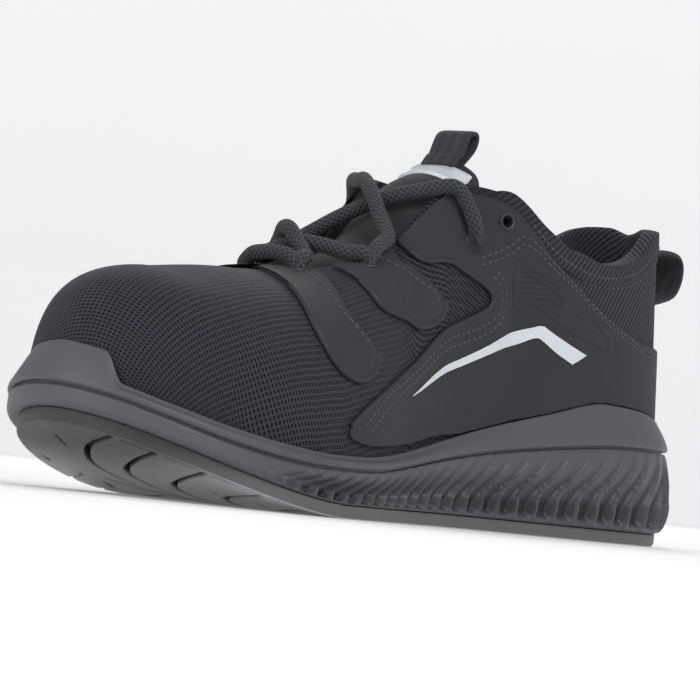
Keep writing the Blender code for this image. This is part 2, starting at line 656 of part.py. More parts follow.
def make_eyelets(look):
    for name, centre, direction in eyelet_frames():
        rows = Rows()
        top = centre + direction * (OVERLAY + LAID + GAP + EYELET_STAND)
        bottom = centre - direction * (WALL - GAP)
        outer, inner = EYELET / 2, EYELET_BORE / 2
        made = [
            rows.row(tube_points(radius, where, direction, 8))
            for radius, where in ((outer, bottom), (outer, top), (inner, top), (inner, bottom))
        ]
        for first, second in zip(made, made[1:] + made[:1]):
            rows.join(first, second)
        piece(name, rows.points, rows.faces, look, smooth=40)


def lip_rise(ring):
    """Rise at which the upper leaves the cup."""
    ring = np.atleast_1d(np.asarray(ring, float))
    rises = np.linspace(0, 0.6, 61)
    rim = share("band", ring, HEIGHT) + bumper_rise(ring) + 3 * GAP
    out = []
    for value, height in zip(ring, rim):
        wall = upper_base(np.full(61, value), rises)
        out.append(np.interp(height, wall[:, 2], rises))
    return np.array(out)


def overlay(name, corners, side, look, lift, thickness, holes=()):
    """A sheet over the upper inside an outline of ring and rise, with its own thickness."""
    knees = [(c.ring, c.rise) for c in corners]
    outline = []
    for (a, b), (c, d) in zip(knees, knees[1:] + knees[:1]):
        steps = max(1, round(math.hypot(a - c, (b - d) * 10) / SHEET_STEP))
        outline += [(a + (c - a) * k / steps, b + (d - b) * k / steps) for k in range(steps)]
    lips = lip_rise([ring for ring, rise in outline])
    flat = [(ring / 10, max(rise, low)) for (ring, rise), low in zip(outline, lips)]
    inner = []
    for hole in holes:
        here = upper_base(hole.ring, hole.rise)
        turned = (upper_base(hole.ring + 0.05, hole.rise) - upper_base(hole.ring - 0.05, hole.rise)) / 0.1
        raised = (upper_base(hole.ring, hole.rise + 0.02) - upper_base(hole.ring, hole.rise - 0.02)) / 0.04
        frame = np.stack([turned, raised], 1)
        flatten = np.linalg.pinv(frame)
        level = turned / np.linalg.norm(turned)
        up = np.cross(np.cross(turned, raised), turned)
        up /= np.linalg.norm(up)
        reach = EYELET / 2 + 3 * GAP
        angles = [2 * math.pi * k / 8 for k in range(8)]
        shifts = [flatten @ ((level * math.cos(a) + up * math.sin(a)) * reach) for a in angles]
        inner.append([((hole.ring + shift[0]) / 10, hole.rise + shift[1]) for shift in shifts])
    extra = []
    polygon = np.array(flat)
    low, high = polygon.min(0), polygon.max(0)
    for ring in np.arange(low[0] * 10 + SHEET_PITCH / 2, high[0] * 10, SHEET_PITCH):
        for rise in np.arange(low[1] + SHEET_ROW / 2, high[1], SHEET_ROW):
            point = np.array((ring / 10, rise))
            if inside(polygon, point) and np.min(np.hypot(*(polygon - point).T)) > SHEET_ROW / 5:
                extra.append(point)
    points, triangles = flat_mesh(flat, inner, extra)
    ring, rise = points[:, 0] * 10, points[:, 1]
    if side < 0:
        ring = 2 * TOE - ring
    rows = Rows()
    outer = rows.row(upper(ring, rise, np.full(len(ring), -(lift + thickness))))
    under = rows.row(upper(ring, rise, np.full(len(ring), -lift)))
    sides = {}
    for face, holed in triangles:
        if holed:
            continue
        rows.faces.append([outer[i] for i in face])
        rows.faces.append([under[i] for i in reversed(face)])
        for a, b in zip(face, face[1:] + face[:1]):
            sides.setdefault((min(a, b), max(a, b)), []).append((a, b))
    for found in sides.values():
        if len(found) == 1:
            a, b = found[0]
            rows.faces.append([outer[a], outer[b], under[b], under[a]])
    return piece(name, rows.points, rows.faces, look, smooth=40)


def inside(polygon, point):
    x, y = point
    hit = False
    for (x1, y1), (x2, y2) in zip(polygon, np.roll(polygon, -1, 0)):
        if (y1 > y) != (y2 > y) and x < (x2 - x1) * (y - y1) / (y2 - y1) + x1:
            hit = not hit
    return hit


def make_insole(look):
    """Footbed board on the midsole's floor, inside the upper's wall."""
    rows = Rows()
    out = share("feather", RING, WIDTH) - WALL - 2 * GAP
    made = []
    for inset, rise in ((0.0, GAP), (0.0008, INSOLE)):
        at = edge(RING, out - inset)
        made.append(rows.row(place(at[:, 0], at[:, 1], footbed(at[:, 0]) + rise)))
    rows.join(*made)
    rows.across(made[0])
    rows.across(made[1])
    return piece("insole", rows.points, rows.faces, look)


def throat_frame(ring):
    """The two edges of the throat at a ring value of the medial side, just under the upper's wall."""
    deep = WALL + 2 * GAP
    pair = upper(np.array([ring, 2 * TOE - ring]), np.array([1.0, 1.0]), np.array([deep, deep]))
    return pair[0], pair[1]


def tongue_row(ring, deep, count=7):
    """Points across the tongue: an arch over the throat, tucked under both edges."""
    medial, lateral = throat_frame(ring)
    out = []
    tuck = TONGUE_OVERLAP
    for side in (1, -1):
        value = ring if side > 0 else 2 * TOE - ring
        span = np.linalg.norm(upper_base(value, 1.0) - upper_base(value, 0.9)) / 0.1
        rises = 1 - np.array([1.0, 0.55, 0.15]) * tuck / span
        row = upper(np.full(3, value), rises, np.full(3, WALL + 3 * GAP + deep))
        out.append(row)
    left, right = out[0], out[1][::-1]
    middle = []
    half = np.linalg.norm(medial - lateral) / 2
    for k in range(1, count - 1):
        f = k / (count - 1)
        arch = math.sin(math.pi * f) * half * 0.34
        base = left[2] * (1 - f) + right[0] * f
        middle.append(base + np.array((-0.45, 0, 0.89)) * arch)
    return np.array([*left, *middle, *right])


def tongue_sections():
    rings = np.linspace(THROAT - 0.55, COLLAR + 0.25, 8)
    outer = [tongue_row(value, 0.0) for value in rings]
    inner = [tongue_row(value, TONGUE_WALL) for value in rings]
    return outer, inner


def whole_tongue():
    """Sections of the tongue, with the free end above the throat."""
    outer, inner = tongue_sections()
    up = np.array((math.sin(TONGUE_LEAN), 0, math.cos(TONGUE_LEAN)))
    for step, narrow in ((0.45, 0.97), (0.85, 0.86), (1.0, 0.70)):
        for sheets in (outer, inner):
            last = sheets[7]
            mid = last.mean(0)
            sheets.append(mid + (last - mid) * np.array((narrow, narrow, 1)) + up * TONGUE_RISE * step)
    return outer, inner


def make_tongue(look):
    """Padded tongue under the throat, standing above the collar at its top."""
    outer, inner = whole_tongue()
    rows = Rows()
    sections = []
    for over, under in zip(outer, inner):
        sections.append(rows.row([*over, *under[::-1]]))
    for first, second in zip(sections, sections[1:]):
        rows.join(first, second)
    rows.faces += [sections[0], sections[-1][::-1]]
    return piece("tongue", rows.points, rows.faces, look, smooth=60)


def sweep(name, path, half_width, wall, look):
    """A flat webbing swept along a path of points: width across the shoe, wall along the bend."""
    rows = Rows()
    path = [Vector(p) for p in path]
    sections = []
    for i, point in enumerate(path):
        ahead = (path[min(i + 1, len(path) - 1)] - path[max(i - 1, 0)]).normalized()
        wide = Vector((0, 1, 0))
        out = wide.cross(ahead).normalized()
        sections.append(rows.row([
            point + wide * half_width + out * wall / 2, point - wide * half_width + out * wall / 2,
            point - wide * half_width - out * wall / 2, point + wide * half_width - out * wall / 2,
        ]))
    for first, second in zip(sections, sections[1:]):
        rows.join(first, second)
    rows.faces += [sections[0], sections[-1][::-1]]
    return piece(name, rows.points, rows.faces, look)


def make_heel_loop(look):
    """Webbing loop that stands out behind the collar."""
    rises = np.linspace(0.5, 1, 60)
    wall = upper_base(np.zeros(60), rises)
    stand = 1.6 * GAP + LOOP_WALL / 2
    bottom = wall[-1, 2] - LOOP_SINK - LOOP_HEIGHT
    path = []
    for bend in LOOP_BENDS:
        height = bottom + LOOP_HEIGHT * bend.up
        back = np.interp(height, wall[:, 2], wall[:, 0]) + stand
        path.append((back + bend.reach * LOOP_REACH, 0, height))
    return sweep("heel_loop", path, LOOP_WIDTH / 2, LOOP_WALL, look)


def over_wall(side, ring, rise):
    """Middle of a lace that lies over the eyelets at a place on one side of the upper."""
    value = ring if side == "medial" else 2 * TOE - ring
    lift = OVERLAY + LAID + GAP + EYELET_STAND + LACE_LIFT + CORD / 2
    return Vector(upper(np.array([value]), np.array([rise]), np.array([-lift]))[0])


def lace_run(side):
    """Middle of one cord: up the wall from an eyelet, across the throat and down to the next eyelet."""
    laced = EYELETS[:-1]
    path = []
    for start, end in zip(laced, laced[1:]):
        other = "lateral" if side == "medial" else "medial"
        gain = (end.ring - start.ring) * LACE_TURN
        near, far = [], []
        for f in (0, 0.5, 1):
            near.append(over_wall(side, start.ring + gain * f, start.rise + (LACE_EDGE - start.rise) * f))
            far.append(over_wall(other, end.ring - gain * (1 - f), LACE_EDGE + (end.rise - LACE_EDGE) * f))
        path += near
        for k in range(1, 5):
            bow = LACE_UP * LACE_BOW * math.sin(math.pi * k / 5)
            path.append(near[-1].lerp(far[0], k / 5) + bow)
        path += far[:-1]
        side = other
    return path + [far[-1]]


def cord_tube(name, path, look, sides=6):
    rows = Rows()
    made = []
    for i, point in enumerate(path):
        ahead = (path[min(i + 1, len(path) - 1)] - path[max(i - 1, 0)]).normalized()
        made.append(rows.row(tube_points(CORD / 2, point, ahead, sides)))
    for first, second in zip(made, made[1:]):
        rows.join(first, second)
    rows.faces += [made[0], made[-1][::-1]]
    return piece(name, rows.points, rows.faces, look, smooth=60)


def make_lace(look):
    """Two cords crossing over the tongue between the eyelets, joined where they cross."""
    first = cord_tube("lace", lace_run("medial"), look)
    second = cord_tube("lace_return", lace_run("lateral"), look)
    ends = [lace_run(side)[0] for side in ("medial", "lateral")]
    bar = [ends[0].lerp(ends[1], k / 5) + LACE_UP * BAR_BOW * math.sin(math.pi * k / 5) for k in range(6)]
    third = cord_tube("lace_bar", bar, look)
    for other in (second, third):
        join = first.modifiers.new(other.name, "BOOLEAN")
        join.operation = "UNION"
        join.object = other
        other.hide_render = True
        other.display_type = "WIRE"


def sheet_over(name, grid, lift, thickness, look):
    """A thin plate laid over a grid of points, each moved along the grid's own normal."""
    grid = np.array(grid)
    along = np.gradient(grid, axis=0)
    wide = np.gradient(grid, axis=1)
    normal = np.cross(wide, along)
    normal /= np.linalg.norm(normal, axis=2, keepdims=True)
    if normal[..., 2].mean() - normal[..., 0].mean() < 0:
        normal = -normal
    rows = Rows()
    under = [rows.row(line) for line in grid + normal * lift]
    over = [rows.row(line) for line in grid + normal * (lift + thickness)]
    pairs = [*zip(under, under[1:]), *((after, line) for line, after in zip(over, over[1:]))]
    for first, second in pairs:
        rows.faces += [(first[k], first[k + 1], second[k + 1], second[k]) for k in range(len(first) - 1)]
    rims = []
    for side in (under, over):
        down = [line[-1] for line in side[1:]]
        back = [line[0] for line in side[-2:0:-1]]
        rims.append(side[0] + down + side[-1][-2::-1] + back)
    rows.join(*rims)
    return piece(name, rows.points, rows.faces, look)


def tongue_patch(low, high, width, steps=4):
    """Grid of points on the front of the tongue between two shares of its free end, of a given width."""
    sections = np.array(whole_tongue()[0][-5:])
    shares = np.linspace(0, 1, len(sections))
    reach = np.linspace(-width / 2, width / 2, 5)
    grid = []
    for f in np.linspace(low, high, steps):
        row = np.array([[np.interp(f, shares, line[:, a]) for a in range(3)] for line in sections.swapaxes(0, 1)])
        order = np.argsort(row[:, 1])
        grid.append([[np.interp(y, row[order, 1], row[order, a]) for a in (0, 1, 2)] for y in reach])
    return grid


def make_tongue_trim(label_look, strap_look):
    """Bare label on the front of the tongue, and the pull loop standing over its top."""
    sheet_over("tongue_label", tongue_patch(LABEL_LOW, LABEL_HIGH, LABEL_WIDTH, 3), 2 * GAP, TRIM, label_look)
    front = np.array(tongue_patch(LABEL_HIGH + 0.04, 1.0, TAB_WIDTH, 3))[:, 2]
    back_edge = whole_tongue()[1][-1]
    behind = back_edge[len(back_edge) // 2] + np.array((TAB_WALL, 0, 0))
    lean = np.array((math.cos(TONGUE_LEAN), 0, -math.sin(TONGUE_LEAN)))
    up = np.array((math.sin(TONGUE_LEAN), 0, math.cos(TONGUE_LEAN)))
    stand = 4 * GAP + TAB_WALL / 2
    crown = (front[-1] + behind) / 2
    half = np.linalg.norm(behind - front[-1]) / 2 + stand + 3 * GAP
    path = [point - lean * (stand + 3 * GAP) for point in front]
    for angle in (20, 60, 100, 140, 175):
        turn = math.radians(angle)
        path.append(crown - lean * half * math.cos(turn) + up * (TAB_HEIGHT * math.sin(turn) ** 0.8 + 5 * GAP))
    path.append(behind + lean * (stand + 3 * GAP) - up * 0.003)
    sweep("tongue_loop", path, TAB_WIDTH / 2, TAB_WALL, strap_look)


def centre_all():
    """Moves the shoe so that its box is centred on the origin, standing on z = 0."""
    bpy.context.view_layer.update()
    shown = [found for found in bpy.data.objects if not found.hide_render]
    points = np.array([found.matrix_world @ corner.co for found in shown for corner in found.data.vertices])
    low, high = points.min(0), points.max(0)
    shift = Vector((-(low[0] + high[0]) / 2, -(low[1] + high[1]) / 2, -low[2]))
    for found in bpy.data.objects:
        found.location += shift


def main():
    clear_scene()
    tread = material("tread_rubber", (0.30, 0.30, 0.32), 0.55)
    foam = material("sole_side", (0.075, 0.072, 0.082), 0.45)
    shell = material("mesh_shell", (0.030, 0.028, 0.036), 0.85)
    nubuck = material("nubuck", (0.042, 0.040, 0.044), 0.80)
    knit = material("knit", (0.024, 0.023, 0.028), 0.90)
    webbing = material("webbing", (0.030, 0.029, 0.033), 0.80)
    silver = material("reflective", (0.72, 0.75, 0.79), 0.35)
    ring = material("black", (0.02, 0.02, 0.022), 0.4)
    board = material("insole_cloth", (0.05, 0.05, 0.055), 0.9)

    make_outsole(tread)
    make_midsole(foam)
    make_insole(board)
    make_upper(shell)
    make_tongue(knit)
    for side, sign in (("medial", 1), ("lateral", -1)):
        overlay(f"quarter_{side}", QUARTER, sign, nubuck, LAID, OVERLAY, holes=EYELETS[2:])
        overlay(f"finger_front_{side}", FINGER_FRONT, sign, nubuck, LAID, OVERLAY, holes=EYELETS[:1])
        overlay(f"finger_back_{side}", FINGER_BACK, sign, nubuck, LAID, OVERLAY, holes=EYELETS[1:2])
        overlay(f"stripe_{side}", STRIPE, sign, silver, 2 * LAID + OVERLAY, TRIM)
    make_tongue_trim(silver, webbing)
    make_eyelets(ring)
    make_lace(webbing)
    make_heel_loop(webbing)
    centre_all()


main()
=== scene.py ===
"""Looks of a safety sneaker for the right foot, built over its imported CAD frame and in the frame's metres.

The toe points to -X and the inner, medial side to -Y. Walls follow one closed ring round the foot: 0 at the
back of the heel, TOE at the tip of the toe, values below TOE on the medial side and above it on the lateral.
"""

import math
from collections import namedtuple

import bmesh
import bpy
import numpy as np
from mathutils import Matrix, Vector
from mathutils.bvhtree import BVHTree


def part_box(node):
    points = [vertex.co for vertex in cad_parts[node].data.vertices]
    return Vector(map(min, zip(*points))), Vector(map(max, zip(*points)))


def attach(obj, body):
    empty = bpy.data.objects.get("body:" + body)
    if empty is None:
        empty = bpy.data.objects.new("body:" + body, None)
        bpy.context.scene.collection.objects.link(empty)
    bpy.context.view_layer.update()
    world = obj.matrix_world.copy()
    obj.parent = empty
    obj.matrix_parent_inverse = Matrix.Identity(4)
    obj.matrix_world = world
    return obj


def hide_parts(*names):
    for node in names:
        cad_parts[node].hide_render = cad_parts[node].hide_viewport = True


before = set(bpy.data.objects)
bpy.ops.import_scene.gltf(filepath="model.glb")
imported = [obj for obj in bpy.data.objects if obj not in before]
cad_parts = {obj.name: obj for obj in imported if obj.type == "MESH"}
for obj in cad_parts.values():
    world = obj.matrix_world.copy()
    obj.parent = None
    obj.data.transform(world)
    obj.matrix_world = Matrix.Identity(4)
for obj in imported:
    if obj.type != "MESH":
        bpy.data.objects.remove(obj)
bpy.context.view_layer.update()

# Outsole: the moulded rubber tread that the shoe stands on. Bent grooves part it into lugs, whose faces are
# painted light as a painted reflection and whose grooves are painted dark as painted shade. A smooth rim with
# its own channel closes the medial edge.
# Stations from heel to toe, in shares of the shoe's length, width and height, and with the number of ribs
# up to the next station.
Station = namedtuple(
    "Station",
    "along medial lateral top_along top_across top_height roundness belly band line foot bulge line_out "
    "band_out feather steps",
)
STATIONS = [
    Station(.000, .000, .000, .020, .000, 1.000, .00, .020, .392, .306, .268, .055, .010, -.028, -.043, 3),
    Station(.018, .200, .200, .028, .100, 1.020, .00, .010, .398, .308, .268, .055, .010, -.028, -.043, 2),
    Station(.055, .295, .295, .064, .195, 1.005, .00, -.005, .412, .311, .268, .055, .010, -.028, -.043, 2),
    Station(.110, .345, .350, .128, .253, .905, .05, .000, .432, .312, .266, .050, .010, -.025, -.040, 3),
    Station(.190, .352, .362, .208, .286, .870, .08, .015, .442, .306, .262, .045, .010, -.020, -.036, 3),
    Station(.290, .325, .345, .296, .295, .920, .10, .020, .385, .280, .250, .040, .012, -.012, -.030, 3),
    Station(.380, .292, .338, .374, .265, 1.045, .15, .020, .325, .248, .228, .036, .015, -.006, -.026, 3),
    Station(.470, .315, .370, .445, .190, 1.070, .35, .025, .268, .213, .196, .032, .018, .000, -.024, 3),
    Station(.560, .385, .440, .538, .145, .855, .70, .030, .220, .178, .166, .030, .018, .000, -.022, 3),
    Station(.650, .475, .475, .630, .118, .755, .90, .030, .192, .152, .146, .028, .018, .000, -.022, 3),
    Station(.730, .515, .468, .702, .000, .722, 1.0, .030, .186, .146, .142, .028, .018, .002, -.022, 3),
    Station(.810, .505, .435, .795, .000, .708, 1.0, .028, .200, .156, .152, .030, .020, .006, -.020, 3),
    Station(.885, .438, .385, .875, .000, .684, 1.0, .030, .235, .192, .188, .034, .026, .012, -.016, 3),
    Station(.945, .325, .305, .875, .000, .684, 1.0, .034, .285, .245, .236, .040, .034, .018, -.012, 2),
    Station(.983, .185, .185, .875, .000, .684, 1.0, .036, .330, .290, .270, .044, .038, .022, -.010, 3),
    Station(1.00, .000, .000, .875, .000, .684, 1.0, .036, .350, .310, .290, .045, .040, .024, -.010, 3),
]
TOE = len(STATIONS) - 1
SOLE_LOW, SOLE_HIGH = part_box("outsole")
LENGTH = SOLE_HIGH.x - SOLE_LOW.x
WIDTH = 0.105
HEIGHT = 0.112
GAP = 0.0003  # between neighbouring parts
TREAD = 0.0044  # thickness
GROOVE_DEPTH = 0.0030
TOE_SPRING = 0.022
TOE_ROLL = 0.70  # share of the length at which the toe begins to lift
HEEL_ROLL = 0.004
HEEL_ROLL_END = 0.07


def column(name, mirrored=False):
    """One column of STATIONS as a closed ring: the medial side out, the lateral side back."""
    out = [getattr(row, name) for row in STATIONS]
    sign = -1 if mirrored else 1
    return np.array(out + [sign * value for value in out[-2:0:-1]])


def on_ring(values, ring, bounded=True):
    """Cubic through values at whole ring numbers. Bounded, it doesn't overshoot them."""
    ring = np.asarray(ring, float)
    count = len(values)
    low = np.floor(ring).astype(int)
    f = ring - low
    p0, p1, p2, p3 = (values[(low + k) % count] for k in (-1, 0, 1, 2))

    def slope(a, b, c):
        mean = (c - a) / 2
        if not bounded:
            return mean
        limit = 3 * np.minimum(abs(b - a), abs(c - b))
        return np.where((b - a) * (c - b) <= 0, 0, np.clip(mean, -limit, limit))

    m1, m2 = slope(p0, p1, p2), slope(p1, p2, p3)
    return (
        (2 * f**3 - 3 * f**2 + 1) * p1 + (f**3 - 2 * f**2 + f) * m1
        + (3 * f**2 - 2 * f**3) * p2 + (f**3 - f**2) * m2
    )


SHAPE = {name: column(name) for name in Station._fields}
ALONG = SHAPE["along"] * LENGTH
ACROSS = np.concatenate([SHAPE["medial"][: TOE + 1], -SHAPE["lateral"][TOE + 1 :]]) * WIDTH
TOP = [SHAPE["top_along"] * LENGTH, column("top_across", True) * WIDTH, SHAPE["top_height"] * HEIGHT]


def share(name, ring, size):
    """Value of a column at a place on the ring, in metres."""
    return on_ring(SHAPE[name], ring) * size


def edge(ring, out):
    """Along and across of the tread's edge, moved out by a distance."""
    ring = np.asarray(ring, float)
    here, ahead, behind = (
        np.stack([on_ring(ALONG, ring + step, False), on_ring(ACROSS, ring + step, False)], -1)
        for step in (0, 0.02, -0.02)
    )
    tangent = ahead - behind
    tangent /= np.linalg.norm(tangent, axis=-1, keepdims=True)
    normal = np.stack([-tangent[..., 1], tangent[..., 0]], -1)
    return here + normal * np.asarray(out)[..., None]


# Ring values of the frame's own columns, at which its ribs stand.
side_rings = [k + i / row.steps for k, row in enumerate(STATIONS[:-1]) for i in range(row.steps)]
RING = np.array(side_rings + [TOE] + [2 * TOE - value for value in side_rings[:0:-1]])
MIDDLE = SOLE_LOW.y + edge(RING, 0)[:, 1].max()


def place(along, across, height):
    """Point of the shoe: metres from the heel, from the middle to the medial side, and up."""
    return np.stack(np.broadcast_arrays(SOLE_HIGH.x - along, MIDDLE - np.asarray(across), height), -1)


def edge_row(ring, out, height):
    """Row of points beside the tread's edge, moved out by a distance, at a height."""
    at = edge(ring, out)
    return place(at[:, 0], at[:, 1], height)


def ground(along):
    """Height of the tread: flat, rolled a little at the heel, and lifted at the toe."""
    u = np.asarray(along) / LENGTH
    toe = np.clip((u - TOE_ROLL) / (1 - TOE_ROLL), 0, None)
    heel = np.clip(1 - u / HEEL_ROLL_END, 0, None)
    return TOE_SPRING * toe**1.8 + HEEL_ROLL * heel**2


def midline(ring):
    """Along and across of the middle of the sole, the same from both sides."""
    middle = (on_ring(ACROSS, ring, False) + on_ring(ACROSS, 2 * TOE - ring, False)) / 2
    return on_ring(ALONG, ring, False), middle


def walked(points):
    """Distance covered from the first of a row of points to each of them."""
    return np.concatenate([[0], np.cumsum(np.linalg.norm(np.diff(points, axis=0), axis=1))])


def even_rings(count):
    """Ring values in even steps along the edge, the same on both sides, from the heel round to the heel."""
    fine = np.linspace(0, TOE, 3001)
    walk = walked(edge(fine, 0))
    side = np.interp(np.linspace(0, walk[-1], count // 2 + 1), walk, fine)
    return np.concatenate([side, 2 * TOE - side[-2::-1]])


def smooth_line(knees, steps, closed=False):
    """Curve through a few points, with steps between each two."""
    pts = np.array(knees, float)
    if closed:
        ends = np.vstack([pts[-1:], pts, pts[:2]])
    else:
        ends = np.vstack([2 * pts[0] - pts[1], pts, 2 * pts[-1] - pts[-2]])
    out = []
    for p0, p1, p2, p3 in zip(ends, ends[1:], ends[2:], ends[3:]):
        for k in range(steps):
            f = k / steps
            out.append(
                0.5 * (2 * p1 + (p2 - p0) * f + (2 * p0 - 5 * p1 + 4 * p2 - p3) * f**2
                       + (3 * p1 - p0 - 3 * p2 + p3) * f**3)
            )
    return np.array(out if closed else out + [pts[-1]])


def wrap(points, fields=None, maps=None, drop=None, capped=False):
    """A band of faces from rows of points, welded where it meets itself, with its numbers and UV maps."""
    rows, columns = points.shape[:2]
    shape = bmesh.new()
    bmesh.ops.create_grid(shape, x_segments=columns - 1, y_segments=rows - 1, size=0.5)
    where = [(round((v.co.y + 0.5) * (rows - 1)), round((v.co.x + 0.5) * (columns - 1))) for v in shape.verts]
    for name, values in (fields or {}).items():
        layer = shape.verts.layers.float.new(name)
        for corner, spot in zip(shape.verts, where):
            corner[layer] = values[spot]
    for name, values in (maps or {}).items():
        layer = shape.loops.layers.uv.new(name)
        for face in shape.faces:
            for loop in face.loops:
                loop[layer].uv = values[where[loop.vert.index]]
    for corner, spot in zip(shape.verts, where):
        corner.co = points[spot]
    if drop is not None:
        gone = []
        for face in shape.faces:
            cells = [where[corner.index] for corner in face.verts]
            if drop(min(cell[0] for cell in cells), min(cell[1] for cell in cells)):
                gone.append(face)
        bmesh.ops.delete(shape, geom=gone, context="FACES")
    bmesh.ops.remove_doubles(shape, verts=shape.verts, dist=2e-6)
    bmesh.ops.dissolve_degenerate(shape, edges=shape.edges, dist=1e-7)
    if capped:
        bmesh.ops.holes_fill(shape, edges=[e for e in shape.edges if e.is_boundary], sides=0)
    bmesh.ops.recalc_face_normals(shape, faces=shape.faces)
    return shape


def as_object(name, shape, looks=()):
    """Turns a finished bmesh into an object of the scene."""
    mesh = bpy.data.meshes.new(name)
    shape.to_mesh(mesh)
    shape.free()
    for look in looks:
        mesh.materials.append(look)
    made = bpy.data.objects.new(name, mesh)
    bpy.context.scene.collection.objects.link(made)
    return made


def stand(name, shape, looks, nodes=(), sharp=45):
    """Makes a finished bmesh a piece of the shoe, in place of the CAD nodes that it stands for."""
    made = as_object(name, shape, looks)
    made.data.shade_smooth()
    made.data.set_sharp_from_angle(angle=math.radians(sharp))
    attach(made, "root")
    if nodes:
        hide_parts(*nodes)
    return made


class Tone:
    """One output of a material's nodes. Arithmetic on it adds the Math nodes."""

    def __init__(self, tree, socket):
        self.tree = tree
        self.socket = socket

    def node(self, kind, settings, inputs, out=0):
        """Adds a node with its settings and with the values or links of its sockets."""
        made = self.tree.nodes.new("ShaderNode" + kind)
        for name, value in settings.items():
            setattr(made, name, value)
        for name, value in inputs.items():
            if isinstance(value, Tone):
                self.tree.links.new(value.socket, made.inputs[name])
            else:
                made.inputs[name].default_value = value
        return Tone(self.tree, made.outputs[out])

    def maths(self, operation, *others):
        return self.node("Math", {"operation": operation}, dict(enumerate((self, *others))))

    def __add__(self, other):
        return self.maths("ADD", other)

    def __mul__(self, other):
        return self.maths("MULTIPLY", other)

    def __sub__(self, other):
        return self.maths("SUBTRACT", other)

    def __rsub__(self, other):
        return self.node("Math", {"operation": "SUBTRACT"}, {0: other, 1: self})

    __radd__ = __add__
    __rmul__ = __mul__

    def wave(self, pitch):
        """From 0 to 1 and back once in each pitch."""
        return (self * (2 * math.pi / pitch)).maths("SINE") * 0.5 + 0.5

    def between(self, low, high):
        """Soft step from 0 below low to 1 above high."""
        ends = {"Value": self, "From Min": low, "From Max": high}
        return self.node("MapRange", {"interpolation_type": "SMOOTHSTEP"}, ends)

    def noise(self, size, detail=2.0):
        """Cloudy pattern with spots of about a size, on this vector."""
        return self.node("TexNoise", {}, {"Vector": self, "Scale": 1 / size, "Detail": detail})

    def paint(self, low, high):
        """Colour from low to high by this value."""
        low, high = (c if isinstance(c, Tone) else (*c, 1) for c in (low, high))
        return self.node("Mix", {"data_type": "RGBA"}, {0: self, 6: low, 7: high}, 2)

    def parts(self):
        return [self.node("SeparateXYZ", {}, {0: self}, k) for k in range(3)]


def new_finish(name, fixed=None):
    """A material whose shader has its fixed values, with its object coordinates to draw patterns on."""
    look = bpy.data.materials.new(name)
    look.use_nodes = True
    shader = look.node_tree.nodes["Principled BSDF"]
    for socket, value in (fixed or {}).items():
        shader.inputs[socket].default_value = value
    return look, Tone(look.node_tree, None).node("TexCoord", {}, {}, "Object")


def dress(look, colour, roughness, relief=None, depth=0.0, strength=1.0):
    """Links a material's colour, its roughness and the relief that bends its normal."""
    tree = look.node_tree
    shader = tree.nodes["Principled BSDF"]
    tree.links.new(colour.socket, shader.inputs["Base Color"])
    tree.links.new(roughness.socket, shader.inputs["Roughness"])
    if relief is not None:
        inputs = {"Strength": strength, "Distance": depth, "Height": relief}
        tree.links.new(relief.node("Bump", {}, inputs).socket, shader.inputs["Normal"])


# Bent grooves from the rim to the root, with two knees between, in shares of the length and the width.
Groove = namedtuple("Groove", "rim along_1 across_1 along_2 across_2 root root_across width")
MEDIAL_GROOVES = [
    Groove(.047, .067, .190, .124, .076, .097, -.086, .020),
    Groove(.084, .094, .257, .178, .086, .138, -.076, .025),
    Groove(.134, .148, .257, .235, .067, .201, -.076, .025),
    Groove(.232, .245, .229, .279, .086, .262, -.057, .027),
    Groove(.289, .305, .229, .326, .105, .309, -.057, .027),
    Groove(.393, .386, .210, .372, .086, .352, -.057, .025),
    Groove(.440, .426, .229, .406, .095, .389, -.029, .023),
    Groove(.493, .473, .229, .450, .114, .430, .019, .023),
    Groove(.557, .544, .276, .513, .171, .487, .067, .023),
    Groove(.644, .617, .324, .564, .200, .527, .105, .025),
    Groove(.705, .678, .352, .621, .219, .574, .114, .025),
    Groove(.762, .732, .305, .678, .181, .628, .095, .025),
    Groove(.826, .799, .248, .768, .162, .664, .057, .027),
    Groove(.893, .856, .181, .815, .057, .715, .010, .027),
    Groove(.940, .903, .095, .856, -.038, .758, -.048, .027),
    Groove(.973, .940, .000, .886, -.124, .815, -.133, .025),
]
LATERAL_GROOVES = [
    Groove(.101, .087, -.267, .070, -.200, .054, -.143, .023),
    Groove(.144, .138, -.238, .121, -.171, .101, -.124, .023),
    Groove(.205, .198, -.229, .181, -.171, .158, -.114, .023),
    Groove(.265, .252, -.238, .238, -.171, .215, -.114, .027),
    Groove(.319, .309, -.219, .295, -.152, .268, -.086, .027),
    Groove(.356, .349, -.210, .332, -.124, .309, -.067, .025),
    Groove(.393, .389, -.219, .379, -.124, .349, -.067, .025),
    Groove(.416, .433, -.219, .426, -.114, .396, -.038, .023),
    Groove(.443, .466, -.210, .466, -.095, .440, .000, .023),
    Groove(.473, .507, -.229, .523, -.143, .487, .038, .025),
    Groove(.497, .530, -.200, .554, -.057, .537, .057, .025),
    Groove(.513, .560, -.210, .591, -.067, .567, .057, .025),
    Groove(.557, .601, -.229, .621, -.086, .601, .029, .025),
    Groove(.594, .638, -.238, .661, -.114, .638, .019, .027),
    Groove(.638, .681, -.286, .708, -.152, .678, .000, .027),
    Groove(.688, .728, -.295, .758, -.133, .725, -.038, .027),
    Groove(.748, .765, -.371, .782, -.324, .809, -.286, .023),
    Groove(.805, .819, -.381, .829, -.333, .842, -.305, .021),
]
Knee = namedtuple("Knee", "along across")
